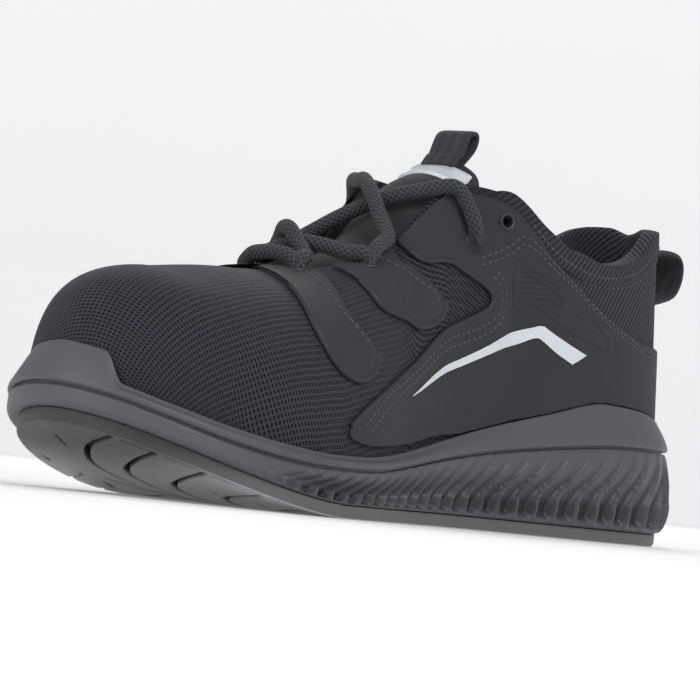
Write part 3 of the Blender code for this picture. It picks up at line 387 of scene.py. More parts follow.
CHANNEL = [
    Knee(.050, -.143), Knee(.101, -.119), Knee(.158, -.114), Knee(.215, -.110), Knee(.265, -.081),
    Knee(.309, -.067), Knee(.352, -.062), Knee(.393, -.033), Knee(.433, .010), Knee(.483, .057),
    Knee(.530, .081), Knee(.570, .081), Knee(.604, .057), Knee(.634, .048), Knee(.671, .019),
    Knee(.718, -.024), Knee(.758, -.086), Knee(.792, -.143), Knee(.826, -.219),
]
GROOVE_TAPER = 0.65
CHANNEL_WIDTH = 0.0032
CHANNEL_TAPER = 0.8
RIM_IN = 0.0032
RIM_WIDTH = 0.0020
RIM_RINGS = np.linspace(1.6, TOE - 1.3, 260)
WEB = 0.0021  # between a groove and the rim channel, and on both sides of a groove's mouth
# Short straight nicks in the faces of the lugs: middle and half length.
Nick = namedtuple("Nick", "along across reach")
NICKS = [
    Nick(.570, .282, .010), Nick(.646, .318, .010), Nick(.710, .318, .010), Nick(.770, .308, .010),
    Nick(.820, .232, .009), Nick(.951, -.095, .014), Nick(.785, -.190, .007), Nick(.889, -.330, .008),
]
NICK_WIDTH = 0.0019
NICK_DEPTH = 0.0011
NICK_TURN = math.radians(18)
CELL = 0.00075  # of the tread's mesh


def tread_cuts():
    """Straight pieces of every groove in the tread: start, end and the half width at each."""
    lines = []
    for side, rows in ((1, MEDIAL_GROOVES), (-1, LATERAL_GROOVES)):
        rim = edge(TOE - side * np.linspace(TOE, 0, 400), 0)
        inset = RIM_IN + WEB if side > 0 else -WEB
        for groove in rows:
            mouth = np.interp(groove.rim * LENGTH, rim[:, 0], rim[:, 1])
            knees = [
                (groove.rim * LENGTH, mouth - side * inset),
                (groove.along_1 * LENGTH, groove.across_1 * WIDTH),
                (groove.along_2 * LENGTH, groove.across_2 * WIDTH),
                (groove.root * LENGTH, groove.root_across * WIDTH),
            ]
            lines.append((smooth_line(knees, 5), groove.width * WIDTH / 2, GROOVE_TAPER))
    middle = smooth_line([(knee.along * LENGTH, knee.across * WIDTH) for knee in CHANNEL], 3)
    lines.append((middle, CHANNEL_WIDTH / 2, CHANNEL_TAPER))
    cuts = []
    for line, half, taper in lines:
        halves = half * np.linspace(1, taper, len(line))
        cuts += list(zip(line, line[1:], halves, halves[1:]))
    rim = edge(RIM_RINGS, -RIM_IN)
    mouths = [groove.rim * LENGTH for groove in MEDIAL_GROOVES]
    clear = [min(abs(point[0] - mouth) for mouth in mouths) > WEB for point in rim]
    for k in range(len(rim) - 1):
        if clear[k] and clear[k + 1]:
            cuts.append((rim[k], rim[k + 1], RIM_WIDTH / 2, RIM_WIDTH / 2))
    return cuts


def nick_cuts():
    """The nicks in the same form."""
    cuts = []
    for nick in NICKS:
        middle = np.array((nick.along * LENGTH, nick.across * WIDTH))
        arm = nick.reach * LENGTH * np.array((math.cos(NICK_TURN), math.sin(NICK_TURN)))
        cuts.append((middle - arm, middle + arm, NICK_WIDTH / 2, NICK_WIDTH / 3))
    return cuts


def beside_cuts(points, cuts):
    """Distance of flat points from the nearest wall of the cuts, below 0 inside them, and the way out."""
    best = np.full(len(points), 1.0)
    out = np.zeros_like(points)
    for start, end, wide, narrow in cuts:
        span = end - start
        t = np.clip(((points - start) @ span) / (span @ span), 0, 1)
        off = points - start - t[:, None] * span
        far = np.hypot(off[:, 0], off[:, 1]) + 1e-9
        here = far - (wide + (narrow - wide) * t)
        closer = here < best
        best[closer] = here[closer]
        out[closer] = off[closer] / far[closer, None]
    return best, out


def carve(flat, cuts):
    """Draws points onto the walls of the cuts, and says how deep each lies, from 0 to 1.

    Each band of distances, in cells, has the place that its points are drawn to and their depth.
    """
    far, out = beside_cuts(flat, cuts)
    level = np.zeros(len(flat))
    for low, high, at, depth in (
        (-9, -1.5, None, 1.0), (-1.5, -0.5, -0.00035, 1.0), (-0.5, 0.5, 0.0, 0.05), (0.5, 1.5, 0.0004, 0.0),
    ):
        band = (far > low * CELL) & (far <= high * CELL)
        level[band] = depth
        if at is not None:
            flat[band] += out[band] * (at - far[band])[:, None]
    return level


TREAD_RINGS = even_rings(900)
TREAD_EDGE_IN = 0.0004
centre_along, centre_across = midline(TREAD_RINGS)
rim = edge(TREAD_RINGS, -TREAD_EDGE_IN)
reach = np.linspace(0, 1, 64)[:, None]
flat = np.stack([
    centre_along + (rim[:, 0] - centre_along) * reach,
    centre_across + (rim[:, 1] - centre_across) * reach,
], -1)
shifted = flat.reshape(-1, 2).copy()
grooved = carve(shifted, tread_cuts())
nicked = np.where(grooved > 0, 0, carve(shifted.copy(), nick_cuts()))
shifted = shifted.reshape(flat.shape)
shifted[[0, -1]] = flat[[0, -1]]
sunk = (GROOVE_DEPTH * grooved + NICK_DEPTH * nicked).reshape(flat.shape[:2])
# Share of painted light: 1 on the lug faces, 0 in the grooves and nicks, which get painted shade instead.
lug_light_share = 1 - np.clip(grooved + 0.8 * nicked, 0, 1).reshape(flat.shape[:2])
base = ground(shifted[..., 0])
bottom = place(shifted[..., 0], shifted[..., 1], base + sunk)
start = base[-1] + np.maximum(sunk[-1], 0.0005)
top_height = ground(edge(TREAD_RINGS, 0)[:, 0]) + TREAD
sides = [edge_row(TREAD_RINGS, 0, start + (top_height - start) * f) for f in (0, 0.5, 1)]
lid = place(centre_along, centre_across, ground(centre_along) + TREAD)
tread_points = np.concatenate([bottom, np.array(sides), lid[None]])
# The side wall gets a share of painted light between that of the grooves and that of the lug faces.
lug_light_and_shade = np.vstack([lug_light_share, np.full((4, len(TREAD_RINGS)), 0.60)])  # less light on the side wall

tread_rubber, here = new_finish("tread_rubber")
lug_lighting = here.node("Attribute", {"attribute_name": "lug_lighting"}, {}, "Fac")
x, y, z = here.parts()
toe_shade = (x * -1).between(0.104, 0.142)
grain = here.noise(0.0005)
patches = here.noise(0.018, 4)
# Painted light and shade: lug faces light, grooves dark, and the toe darker where the tread curves up.
lit = lug_lighting.between(0.45, 0.95) * (1 - 0.86 * toe_shade)
# faces: the painted reflection on the lug faces, a light grey with random patches, over rubber that is dark.
faces = (patches * 0.5 + 0.25).paint((0.36, 0.36, 0.375), (0.50, 0.50, 0.52))
rubber = lit.paint((0.030, 0.029, 0.033), faces)
dress(tread_rubber, rubber, 0.62 - 0.16 * patches, grain + 0.3 * here.noise(0.002), 0.00012)
stand("outsole_tread", wrap(tread_points, {"lug_lighting": lug_light_and_shade}), [tread_rubber], ["outsole"], 32)

# Midsole: one injection-moulded foam cup in satin grey. Swept ribs end in scallops above the tread, a thin
# parting line runs over them, and a smooth band rises to a bumper at the toe and a cradle at the heel. The
# scallop pockets and the pleat valleys are painted darker, as painted shade.
LIP = 0.0022
SEAT = 0.0009  # between the cup and the upper in it
BUMPER = 0.0095
BUMPER_ENDS = (1.25, 0.83)  # rings from the toe tip at which it starts to rise and is at its height
BUMPER_LEAN = 0.35
RIB_DEPTH = 0.0022
POCKET_DEPTH = 0.0030
CREST = 0.13  # share of a pleat that falls away behind its crest
RIB_SWEEP = 0.50
RIBBED = 11.6  # ring value at which the ribs have faded out
RIB_TOP = 0.0012  # below the parting line
BAND_FOOT = 0.0020  # height over the parting line at which the smooth band begins
FLOOR_HEEL = 0.0215
FLOOR_BALL = 0.0135
FLOOR_TOE = 0.0080
# Depth of the pleats and of the pockets at their feet, from the tread (0) up to the parting line (1).
RIB_LEVELS = (0, 0.06, 0.14, 0.26, 0.36, 0.60, 0.85, 1)
PLEAT_SHARES = (0.0, 0.10, 0.45, 0.80, 1.0, 0.85, 0.40, 0.10)
POCKET_SHARES = (0.0, 0.25, 1.0, 0.75, 0.25, 0.0, 0.0, 0.0)


def eased(value, low, high):
    """Soft step from 0 at low to 1 at high."""
    f = np.clip((value - low) / (high - low), 0, 1)
    return f * f * (3 - 2 * f)


def footbed(along):
    """Height of the floor inside the cup, from the heel seat down to the ball."""
    u = np.asarray(along) / LENGTH
    thick = FLOOR_HEEL + (FLOOR_BALL - FLOOR_HEEL) * eased(u, 0.12, 0.62)
    return ground(along) + thick + (FLOOR_TOE - FLOOR_BALL) * np.clip((u - 0.68) / 0.32, 0, 1)


def upper_base(ring, rise):
    """Outer face of the upper: rise 0 at the cup, 1 at the top edge, below 0 down inside the cup."""
    ring, rise = np.broadcast_arrays(np.asarray(ring, float), np.asarray(rise, float))
    low = edge(ring, share("feather", ring, WIDTH))
    height = share("foot", ring, HEIGHT)
    top = [on_ring(values, ring) for values in TOP]
    w = np.clip(rise, 0, 1)
    dome = np.clip(on_ring(SHAPE["roundness"], ring), 0, 1)
    belly = share("belly", ring, WIDTH) * np.sin(math.pi * w) ** 2
    run = np.hypot(top[0] - low[..., 0], top[1] - low[..., 1]) + 1e-9
    climb = top[2] - height
    turn = w * math.pi / 2
    inward = (1 - dome) * w + dome * (1 - np.cos(turn))
    upward = (1 - dome) * w + dome * np.sin(turn)
    slant = np.hypot(run, climb)
    inward = run * inward - belly * climb / slant
    upward = climb * upward + belly * run / slant
    along = low[..., 0] + (top[0] - low[..., 0]) / run * inward
    across = low[..., 1] + (top[1] - low[..., 1]) / run * inward
    sink = np.clip(-rise, 0, None)
    return place(along, across, height + upward - sink * (height - footbed(along) - GAP))


# Ring values on the medial side: the lower end of the throat, the dome over the toes, the end of the collar.
THROAT = 10
POLE = 12
COLLAR = 6.35


def upper(ring, rise, deep=0.0):
    """The same face, moved inwards by deep along its normal."""
    ring, rise, deep = np.broadcast_arrays(*(np.asarray(value, float) for value in (ring, rise, deep)))
    here = upper_base(ring, rise)
    w = np.clip(rise, 0.01, 0.97)
    turned = upper_base(ring + 0.05, w) - upper_base(ring - 0.05, w)
    raised = upper_base(ring, w + 0.01) - upper_base(ring, w - 0.01)
    normal = np.cross(raised, turned)
    normal /= np.linalg.norm(normal, axis=-1, keepdims=True) + 1e-12
    ridge = (np.abs(ring - TOE) <= TOE - THROAT + 1e-6) & (rise > 0.999)
    normal[ridge, 1] = 0
    pole = (np.abs(ring - TOE) <= TOE - POLE + 1e-6) & (rise > 0.999)
    normal[pole] = (0.12, 0, 1)
    normal /= np.linalg.norm(normal, axis=-1, keepdims=True)
    return here - normal * deep[..., None]


def bumper_rise(ring):
    """Extra height of the cup round the toe."""
    off = np.abs(ring - TOE)
    return BUMPER * eased(off, *BUMPER_ENDS) * (1 - 0.10 * np.clip(off, 0, 2))


def beside_upper(ring, height):
    """Points at given heights, SEAT outside the upper's outer face."""
    rises = np.linspace(0, 0.8, 81)
    wall = upper(ring[:, None], rises[None], np.full((len(ring), 81), -SEAT))
    out = []
    for line, z in zip(wall, height):
        out.append((np.interp(z, line[:, 2], line[:, 0]), np.interp(z, line[:, 2], line[:, 1]), z))
    return np.array(out)


def ribs(ring, level):
    """Depth of the ribbed wall below its crests, and the painted shade of its pockets and pleat valleys, from
    0 to 1.
    """
    near = TOE - np.abs(ring - TOE)
    calm = np.clip(near / 2, 0, 1) * np.clip((TOE - near - 2.2) / 2, 0, 1)
    sweep = np.sign(TOE - ring) * calm * RIB_SWEEP * eased(level, 0.92, 0.30)
    count = np.interp((ring - sweep) % (2 * TOE), np.append(RING, 2 * TOE), np.arange(len(RING) + 1))
    t = count % 1
    pleat = eased(t, 0, CREST) * np.clip((1 - t) / (1 - CREST), 0, 1) ** 0.8
    pleat = pleat * np.interp(level, RIB_LEVELS, PLEAT_SHARES)
    pocket = eased(np.abs(t - 0.5), 0.5, 0.2) * np.interp(level, RIB_LEVELS, POCKET_SHARES)
    fade = np.clip((RIBBED - near) / 1.3, 0, 1) * (0.40 + 0.60 * np.clip(near / 2.5, 0, 1))
    return (RIB_DEPTH * pleat + POCKET_DEPTH * pocket) * fade, (pocket + 0.45 * pleat) * fade


ring = even_rings(1240)
base = ground(edge(ring, 0)[:, 0]) + TREAD + GAP
line_out = share("line_out", ring, WIDTH)
band_out = share("band_out", ring, WIDTH) - BUMPER_LEAN * bumper_rise(ring)
line = share("line", ring, HEIGHT)
band = share("band", ring, HEIGHT) + bumper_rise(ring)
bulge = share("bulge", ring, WIDTH)
middle = midline(ring)
rows = [place(*middle, ground(middle[0]) + TREAD + GAP), edge_row(ring, 0, base)]
shades = [0 * ring, 0 * ring]
for level in np.linspace(0.02, 1, 36):
    out = 0.8 * bulge * math.sin(math.pi * level**0.55) ** 0.8 + line_out * level**2
    depth, shade = ribs(ring, level)
    rows.append(edge_row(ring, out - depth, base + (line - RIB_TOP - base) * level))
    shades.append(shade)
for out, up in (
    (-0.0004, -0.0007), (-0.0015, -0.0005), (-0.0015, 0.0001), (0.0001, 0.0003), (0.0006, 0.0010),
    (0.0004, BAND_FOOT),
):
    rows.append(edge_row(ring, line_out + out, line + up))
swell = line_out * 0.45 + band_out * 0.55 + 0.0012
for f in np.linspace(0.12, 1, 11):
    out = (1 - f) ** 2 * (line_out + 0.0004) + 2 * f * (1 - f) * swell + f * f * band_out
    rows.append(edge_row(ring, out, line + BAND_FOOT + (band - 0.0010 - line - BAND_FOOT) * f))
for inset, down in ((0.0003, 0.0003), (LIP * 0.32, 0), (LIP * 0.5, 0)):
    rows.append(edge_row(ring, band_out - inset, band - down))
seat = share("foot", ring, HEIGHT)
rows.append(beside_upper(ring, band - 0.0006))
rows.append(beside_upper(ring, seat + (band - seat) * 0.5))
feather = share("feather", ring, WIDTH) + SEAT
rows.append(edge_row(ring, feather, seat))
rows.append(edge_row(ring, feather, footbed(edge(ring, feather)[:, 0])))
rows.append(place(*middle, footbed(middle[0])))

sole_foam, here = new_finish("sole_foam")
grain = here.noise(0.0006)
cloud = here.noise(0.03, 3)
pocket = here.node("Attribute", {"attribute_name": "pocket"}, {}, "Fac")
grey = cloud.paint((0.074, 0.070, 0.080), (0.092, 0.088, 0.098))
# Painted shade: the pockets at the feet of the ribs and the valleys of the pleats are painted near black.
grey = (pocket * 0.85).paint(grey, (0.014, 0.013, 0.016))
dress(sole_foam, grey, 0.40 + 0.12 * cloud, grain, 0.00006, 0.8)
shades = np.array(shades + [0 * ring] * (len(rows) - len(shades)))
stand("midsole_cup", wrap(np.array(rows), {"pocket": shades}), [sole_foam], ["midsole"], 50)

# Insole: a cut board of foam under brushed cloth, laid loose on the floor of the cup. Its edge is rounded.
WALL = 0.0026
INSOLE = 0.0042
INSOLE_ROUND = 0.0012
INSOLE_DISH = 0.0008
ring = even_rings(360)
middle = midline(ring)
inner_edge = share("feather", ring, WIDTH) - WALL - 2 * GAP
rows = [place(*middle, footbed(middle[0]) + GAP)]
for inset, rise in (
    (0.0006, 0), (0, 0.0008), (0, INSOLE - INSOLE_ROUND), (0.0004, INSOLE - 0.0003), (INSOLE_ROUND, INSOLE),
):
    height = footbed(edge(ring, inner_edge - inset)[:, 0]) + np.maximum(rise, GAP)
    rows.append(edge_row(ring, inner_edge - inset, height))
flat_edge = edge(ring, inner_edge - INSOLE_ROUND)
for reach in (0.66, 0.33, 0):
    at = [middle[k] + (flat_edge[:, k] - middle[k]) * reach for k in (0, 1)]
    rows.append(place(*at, footbed(at[0]) + INSOLE - INSOLE_DISH * (1 - reach)))

CLOTH = {"Specular IOR Level": 0.2, "Sheen Weight": 0.08}
insole_cloth, here = new_finish("insole_cloth", CLOTH)
x, y, z = here.parts()
threads = x.wave(0.0011) * y.wave(0.0011)
cloud = here.noise(0.012, 3)
tone = (0.5 * threads + 0.5 * cloud).paint((0.030, 0.030, 0.034), (0.085, 0.085, 0.092))
dress(insole_cloth, tone, 0.90 + 0.08 * cloud, threads, 0.0002)
stand("insole_board", wrap(np.array(rows)), [insole_cloth], ["insole"])

# Upper: one lasted shell with a wall of its own. The vamp and side windows are spacer mesh with open holes,
# the collar panel is a corded knit, and a smooth cloth lines it. The eyelets are punched through it.
Hole = namedtuple("Hole", "ring rise")
EYELETS = [Hole(9.62, .885), Hole(8.52, .875), Hole(6.72, .750), Hole(6.12, .885)]
EYELET = 0.0070
EYELET_BORE = 0.0040
PUNCH = EYELET / 2 - 0.0006
PUNCH_REACH = 0.012
CREASES = ((0.700, 0.0007, 0.010), (0.745, 0.0005, 0.012))  # place, depth and width over the ball
KNIT_TO = 5.6  # ring value of the seam between knit and mesh, under the quarter
SIDES = ("medial", "lateral")


def on_side(ring, side):
    """Ring value, on either side, of a place that is given on the medial side."""
    return ring if side == "medial" else 2 * TOE - ring


def eyelet_frames():
    """Node, centre and outward direction of each eyelet."""
    out = []
    for number, hole in enumerate(EYELETS, 1):
        for side in SIDES:
            centre, inner = (upper([on_side(hole.ring, side)], [hole.rise], [deep])[0] for deep in (0, WALL))
            out.append((f"eyelet_{side}_{number}", Vector(centre), Vector(centre - inner).normalized()))
    return out


def pointed(centre, outward):
    """Matrix that carries an upright shape at the origin to a place, along a direction."""
    return Matrix.Translation(centre) @ outward.to_track_quat("Z", "Y").to_matrix().to_4x4()


def punch(piece):
    """Cuts the eyelet holes through a closed piece."""
    tool = bmesh.new()
    for name, centre, outward in eyelet_frames():
        bmesh.ops.create_cone(
            tool, cap_ends=True, segments=20, radius1=PUNCH, radius2=PUNCH, depth=PUNCH_REACH,
            matrix=pointed(centre, outward),
        )
    cutter = as_object("punch", tool)
    cut = piece.modifiers.new("punched", "BOOLEAN")
    cut.operation = "DIFFERENCE"
    cut.object = cutter
    graph = bpy.context.evaluated_depsgraph_get()
    pierced = bpy.data.meshes.new_from_object(piece.evaluated_get(graph))
    piece.modifiers.remove(cut)
    piece.data = pierced
    bpy.data.objects.remove(cutter)


def shell_maps(points):
    """UV maps of rows on the upper in metres: unrolled from above, and along and up the wall."""
    step = np.linalg.norm(np.diff(points, axis=0), axis=-1)
    height = np.concatenate([np.zeros((1, points.shape[1])), np.cumsum(step, axis=0)])
    walk = walked(points[len(points) // 2])
    wall_map = np.stack(np.broadcast_arrays(walk[None], height), -1)
    top = points[-1, :, :2]
    off = points[0, :, :2] - top
    off /= np.linalg.norm(off, axis=-1, keepdims=True) + 1e-9
    plan_map = top[None] + off[None] * (height[-1][None] - height)[..., None]
    return {"plan": plan_map, "wall": wall_map}


SHELL_RINGS = even_rings(520)
outer_rises = np.concatenate([[-0.9, -0.3], np.linspace(0, 1, 46)])
inner_rises = np.linspace(1, -0.9, 26)
ring = SHELL_RINGS[None]
outer_deep = np.zeros((len(outer_rises), len(SHELL_RINGS)))
for at, depth, width in CREASES:
    along = SOLE_HIGH.x - upper_base(ring, outer_rises[:, None])[..., 0]
    over = np.clip((outer_rises[:, None] - 0.45) / 0.4, 0, 1)
    outer_deep += depth * over * np.exp(-(((along - at * LENGTH) / (width * LENGTH)) ** 2))
outside = upper(ring, outer_rises[:, None], outer_deep)
inside = upper(ring, inner_rises[:, None], WALL)
shell_points = np.concatenate([outside, inside, outside[:1]])
maps = {name: np.concatenate([m, np.repeat(m[-1:], len(shell_points) - len(m), 0)])
        for name, m in shell_maps(outside).items()}
rim_row = len(outer_rises) - 1


def closed_ridge(row, col):
    """True on the strip that would join the two faces of the shell under the vamp's ridge."""
    return row == rim_row and abs((SHELL_RINGS[col] + SHELL_RINGS[col + 1]) / 2 - TOE) < TOE - THROAT


# Finish of each place: 0 mesh, 1 knit, 2 lining.
zone = np.zeros(shell_points.shape[:2])
zone[: rim_row + 1] = np.where(np.abs(SHELL_RINGS - TOE) > TOE - KNIT_TO, 1.0, 0.0)
zone[rim_row + 1 :] = 2
shell = wrap(shell_points, {"zone": zone}, maps, closed_ridge)
zone_layer = shell.verts.layers.float["zone"]
for face in shell.faces:
    face.material_index = round(max(corner[zone_layer] for corner in face.verts))

MESH_PITCH = 0.00135
vamp_mesh, here = new_finish("spacer_mesh", CLOTH | {"Sheen Roughness": 0.5})
x, y, z = here.parts()
u, v, w = here.node("UVMap", {"uv_map": "plan"}, {}).parts()
slots = (u + v * 0.25).wave(MESH_PITCH)
gaps = (v - u * 0.12).wave(MESH_PITCH * 1.55)
toward_throat = x.between(-0.075, -0.010)
bars = slots.between(0.42, 0.74)
rungs = gaps.between(0.12, 0.42)
holes = bars.maths("MAXIMUM", (1 - rungs) * (1 - 0.55 * toward_throat))
fuzz = here.noise(0.0004)
threads = holes * (0.75 + 0.5 * fuzz)
yarn = (threads * 0.9).paint((0.005, 0.0045, 0.007), (0.048, 0.0445, 0.059))
dress(vamp_mesh, yarn, 0.82 + 0.1 * fuzz, threads, 0.0005)

collar_knit, here = new_finish("corded_knit", CLOTH | {"Sheen Roughness": 0.5})
u, v, w = here.node("UVMap", {"uv_map": "wall"}, {}).parts()
cords = (u * 0.80 + v * 0.72).wave(0.0019)
stitch = (u * 0.72 - v * 0.80).wave(0.0011)
fuzz = here.noise(0.0005)
weave = cords * (0.75 + 0.25 * stitch) + 0.15 * fuzz
yarn = weave.paint((0.012, 0.011, 0.015), (0.046, 0.043, 0.052))
dress(collar_knit, yarn, 0.88 + 0.08 * fuzz, weave, 0.0006)

lining_cloth, here = new_finish("lining_cloth", CLOTH)
x, y, z = here.parts()
fine = (x + z * 0.3).wave(0.0012) * z.wave(0.0010)
fuzz = here.noise(0.001)
yarn = (fine * 0.7 + fuzz * 0.3).paint((0.014, 0.013, 0.016), (0.050, 0.048, 0.055))
dress(lining_cloth, yarn, 0.88 + 0.1 * fuzz, fine, 0.0003)

punch(stand("upper_shell", shell, [vamp_mesh, collar_knit, lining_cloth], ["upper"], 60))

# Overlays: quarters and leaf-shaped fingers of brushed microfibre, cut flat, skived thin and rolled at the
# edge, then bonded and sewn over the mesh. Each is made here as a flat pattern and laid over the last.
OVERLAY = 0.0012
LAID = 0.0003
ROLLED = 0.0004  # extra height of the rolled edge
RIDGE_PITCH = 0.0019
RIDGE_HEIGHT = 0.00065
PRESSED_DEPTH = 0.0008
CREASE_DEPTH = 0.00045
CREASE_WIDTH = 0.0007
Corner = namedtuple("Corner", "ring rise")


def outline(*pairs):
    """Corners of a panel, each from its ring value and its rise."""
    return [Corner(*pair) for pair in pairs]


QUARTER = outline(
    (-.07, .05), (-.05, .048), (1.6, .06), (3.2, .10), (4.6, .10), (6.2, .09), (8.0, .08), (9.4, .09),
    (9.75, .13), (9.2, .21), (8.4, .29), (7.8, .34), (7.18, .395), (6.6, .465), (6.24, .525),
    (6.20, .575), (6.38, .600), (6.70, .615), (7.02, .630), (7.32, .655), (7.60, .70), (7.78, .79),
    (7.90, .945), (7.3, .95), (6.75, .955), (6.2, .955), (5.7, .945), (5.2, .915), (4.7, .865),
    (4.3, .805), (3.9, .735), (3.4, .66), (2.6, .56), (1.7, .50), (-.05, .475), (-.07, .473),
)
FINGER_FRONT = outline(
    (10.12, .95), (10.26, .66), (10.28, .50), (10.12, .385), (9.86, .32), (9.56, .298), (9.30, .304),
    (9.06, .338), (8.95, .378), (9.02, .41), (9.16, .45), (9.31, .495), (9.42, .55), (9.45, .65),
    (9.38, .95),
)
FINGER_BACK = outline(
    (8.98, .95), (8.84, .70), (8.68, .605), (8.44, .558), (8.08, .512), (7.84, .464), (7.56, .44),
    (7.34, .449), (7.22, .48), (7.33, .52), (7.50, .575), (7.70, .65), (7.88, .74), (8.02, .81),
    (8.15, .95),
)
RIDGED = outline(
    (5.74, .745), (5.10, .765), (4.88, .745), (4.92, .705), (5.04, .675), (5.36, .655), (5.68, .630),
)
DROP = outline(
    (5.80, .762), (5.84, .735), (5.82, .68), (5.76, .60), (5.70, .577), (5.63, .580), (5.54, .612),
    (5.44, .630), (5.32, .632), (5.10, .620), (4.78, .598), (4.42, .575), (4.06, .552), (3.98, .575),
    (4.02, .62), (4.28, .690), (4.84, .758), (5.05, .778), (5.36, .776), (5.62, .764),
)
PATTERN_RINGS = np.linspace(-0.5, TOE, 1200)
PATTERN_WALK = walked(upper_base(PATTERN_RINGS, 0.5))
PATTERN_RISE = 0.088  # metres of pattern for the whole rise


def to_pattern(ring, rise):
    """Place on the flat pattern of a place on the upper."""
    return np.interp(ring, PATTERN_RINGS, PATTERN_WALK), np.asarray(rise) * PATTERN_RISE


def from_pattern(x, y):
    """Place on the upper of a place on the flat pattern."""
    return np.interp(x, PATTERN_WALK, PATTERN_RINGS), np.asarray(y) / PATTERN_RISE


def lip_rise(ring):
    """Rise at which the upper leaves the cup."""
    ring = np.atleast_1d(np.asarray(ring, float))
    rises = np.linspace(0, 0.6, 61)
    rim = share("band", ring, HEIGHT) + bumper_rise(ring) + 2 * GAP
    wall = upper_base(ring[:, None], rises[None])
    return np.array([np.interp(height, line[:, 2], rises) for line, height in zip(wall, rim)])


def cut_pattern(corners, rims, cell):
    """A flat panel with its edge skived through rims of (inset, height), cut into cells."""
    ring, rise = smooth_line([(c.ring, c.rise) for c in corners], 4, True).T
    x, y = to_pattern(ring, np.maximum(rise, lip_rise(np.abs(ring))))
    area = np.sum(x * np.roll(y, -1) - np.roll(x, -1) * y)
    order = range(len(x)) if area > 0 else range(len(x) - 1, -1, -1)
    sheet = bmesh.new()
    panel = sheet.faces.new([sheet.verts.new((x[k], y[k], 0)) for k in order])
    done = 0
    for inset, height in rims:
        bmesh.ops.inset_region(sheet, faces=[panel], thickness=inset - done, use_even_offset=True)
        done = inset
        for corner in panel.verts:
            corner.co.z = height
    for axis in (0, 1):
        values = [corner.co[axis] for corner in sheet.verts]
        for at in np.arange(min(values) + cell / 2, max(values), cell):
            where, facing = Vector(), Vector()
            where[axis], facing[axis] = at, 1
            geom = sheet.verts[:] + sheet.edges[:] + sheet.faces[:]
            bmesh.ops.bisect_plane(sheet, geom=geom, plane_co=where, plane_no=facing, dist=1e-6)
    return sheet


def lay(sheet, side, lift, press=None):
    """Closes a flat panel underneath, presses its face and lays it over one side of the last."""
    uv = sheet.loops.layers.uv.new("pattern")
    copied = bmesh.ops.duplicate(sheet, geom=sheet.verts[:] + sheet.edges[:] + sheet.faces[:])["geom"]
    under = [item for item in copied if isinstance(item, bmesh.types.BMFace)]
    under_corners = {corner for face in under for corner in face.verts}
    bmesh.ops.reverse_faces(sheet, faces=under)
    for face in sheet.faces:
        for loop in face.loops:
            loop[uv].uv = loop.vert.co.xy
    flat = np.array([corner.co for corner in sheet.verts])
    below = np.array([corner in under_corners for corner in sheet.verts])
    height = np.where(below, 0, press(*flat.T) if press else flat[:, 2])
    ring, rise = from_pattern(flat[:, 0], flat[:, 1])
    points = upper(on_side(ring, side), rise, -(lift + height))
    layer = sheet.verts.layers.float.new("raised")
    for corner, point, z in zip(sheet.verts, points, height):
        corner.co = point
        corner[layer] = z
    bmesh.ops.remove_doubles(sheet, verts=sheet.verts, dist=4e-6)
    bmesh.ops.recalc_face_normals(sheet, faces=sheet.faces)
    return sheet


def beside_polygon(polygon, x, y):
    """Distance of flat points inside a polygon from its edge, below 0 outside it."""
    best = np.full(len(x), 1.0)
    crossed = np.zeros(len(x), bool)
    for (x1, y1), (x2, y2) in zip(polygon, np.roll(polygon, -1, 0)):
        span = np.array((x2 - x1, y2 - y1))
        t = np.clip(((x - x1) * span[0] + (y - y1) * span[1]) / (span @ span), 0, 1)
        best = np.minimum(best, np.hypot(x - x1 - t * span[0], y - y1 - t * span[1]))
        if y1 != y2:
            level = (y1 > y) != (y2 > y)
            crossed ^= level & (x < (x2 - x1) * (y - y1) / (y2 - y1) + x1)
    return np.where(crossed, best, -best)


ridged_area = np.stack(to_pattern([c.ring for c in RIDGED], [c.rise for c in RIDGED]), -1)
drop_area = np.stack(to_pattern(*smooth_line([(c.ring, c.rise) for c in DROP], 5, True).T), -1)


def pressed(x, y, z):
    """Height of the quarter with its pressed ridges, and the long drop-shaped outline behind them."""
    sunk = np.clip(beside_polygon(ridged_area, x, y) / PRESSED_DEPTH, 0, 1)
    ridge = 0.5 + 0.5 * np.cos(2 * math.pi * (0.90 * y + 0.43 * x) / RIDGE_PITCH)
    crease = np.clip(1 - np.abs(beside_polygon(drop_area, x, y)) / CREASE_WIDTH, 0, 1)
    return z - sunk * (PRESSED_DEPTH - RIDGE_HEIGHT * ridge) - CREASE_DEPTH * crease


nubuck, here = new_finish("brushed_microfibre", CLOTH | {"Sheen Roughness": 0.45})
raised = here.node("Attribute", {"attribute_name": "raised"}, {}, "Fac")
nap = here.noise(0.00045)
brushed = here.noise(0.011, 4)
worn = 1 - raised.between(0.0002, 0.0010)
tone = (0.55 * nap + 0.45 * brushed).paint((0.030, 0.0275, 0.0325), (0.048, 0.0445, 0.051))
tone = (0.35 * worn).paint(tone, (0.085, 0.082, 0.090))
dress(nubuck, tone, 0.80 + 0.12 * brushed, nap + 0.4 * here.noise(0.0016), 0.00014)

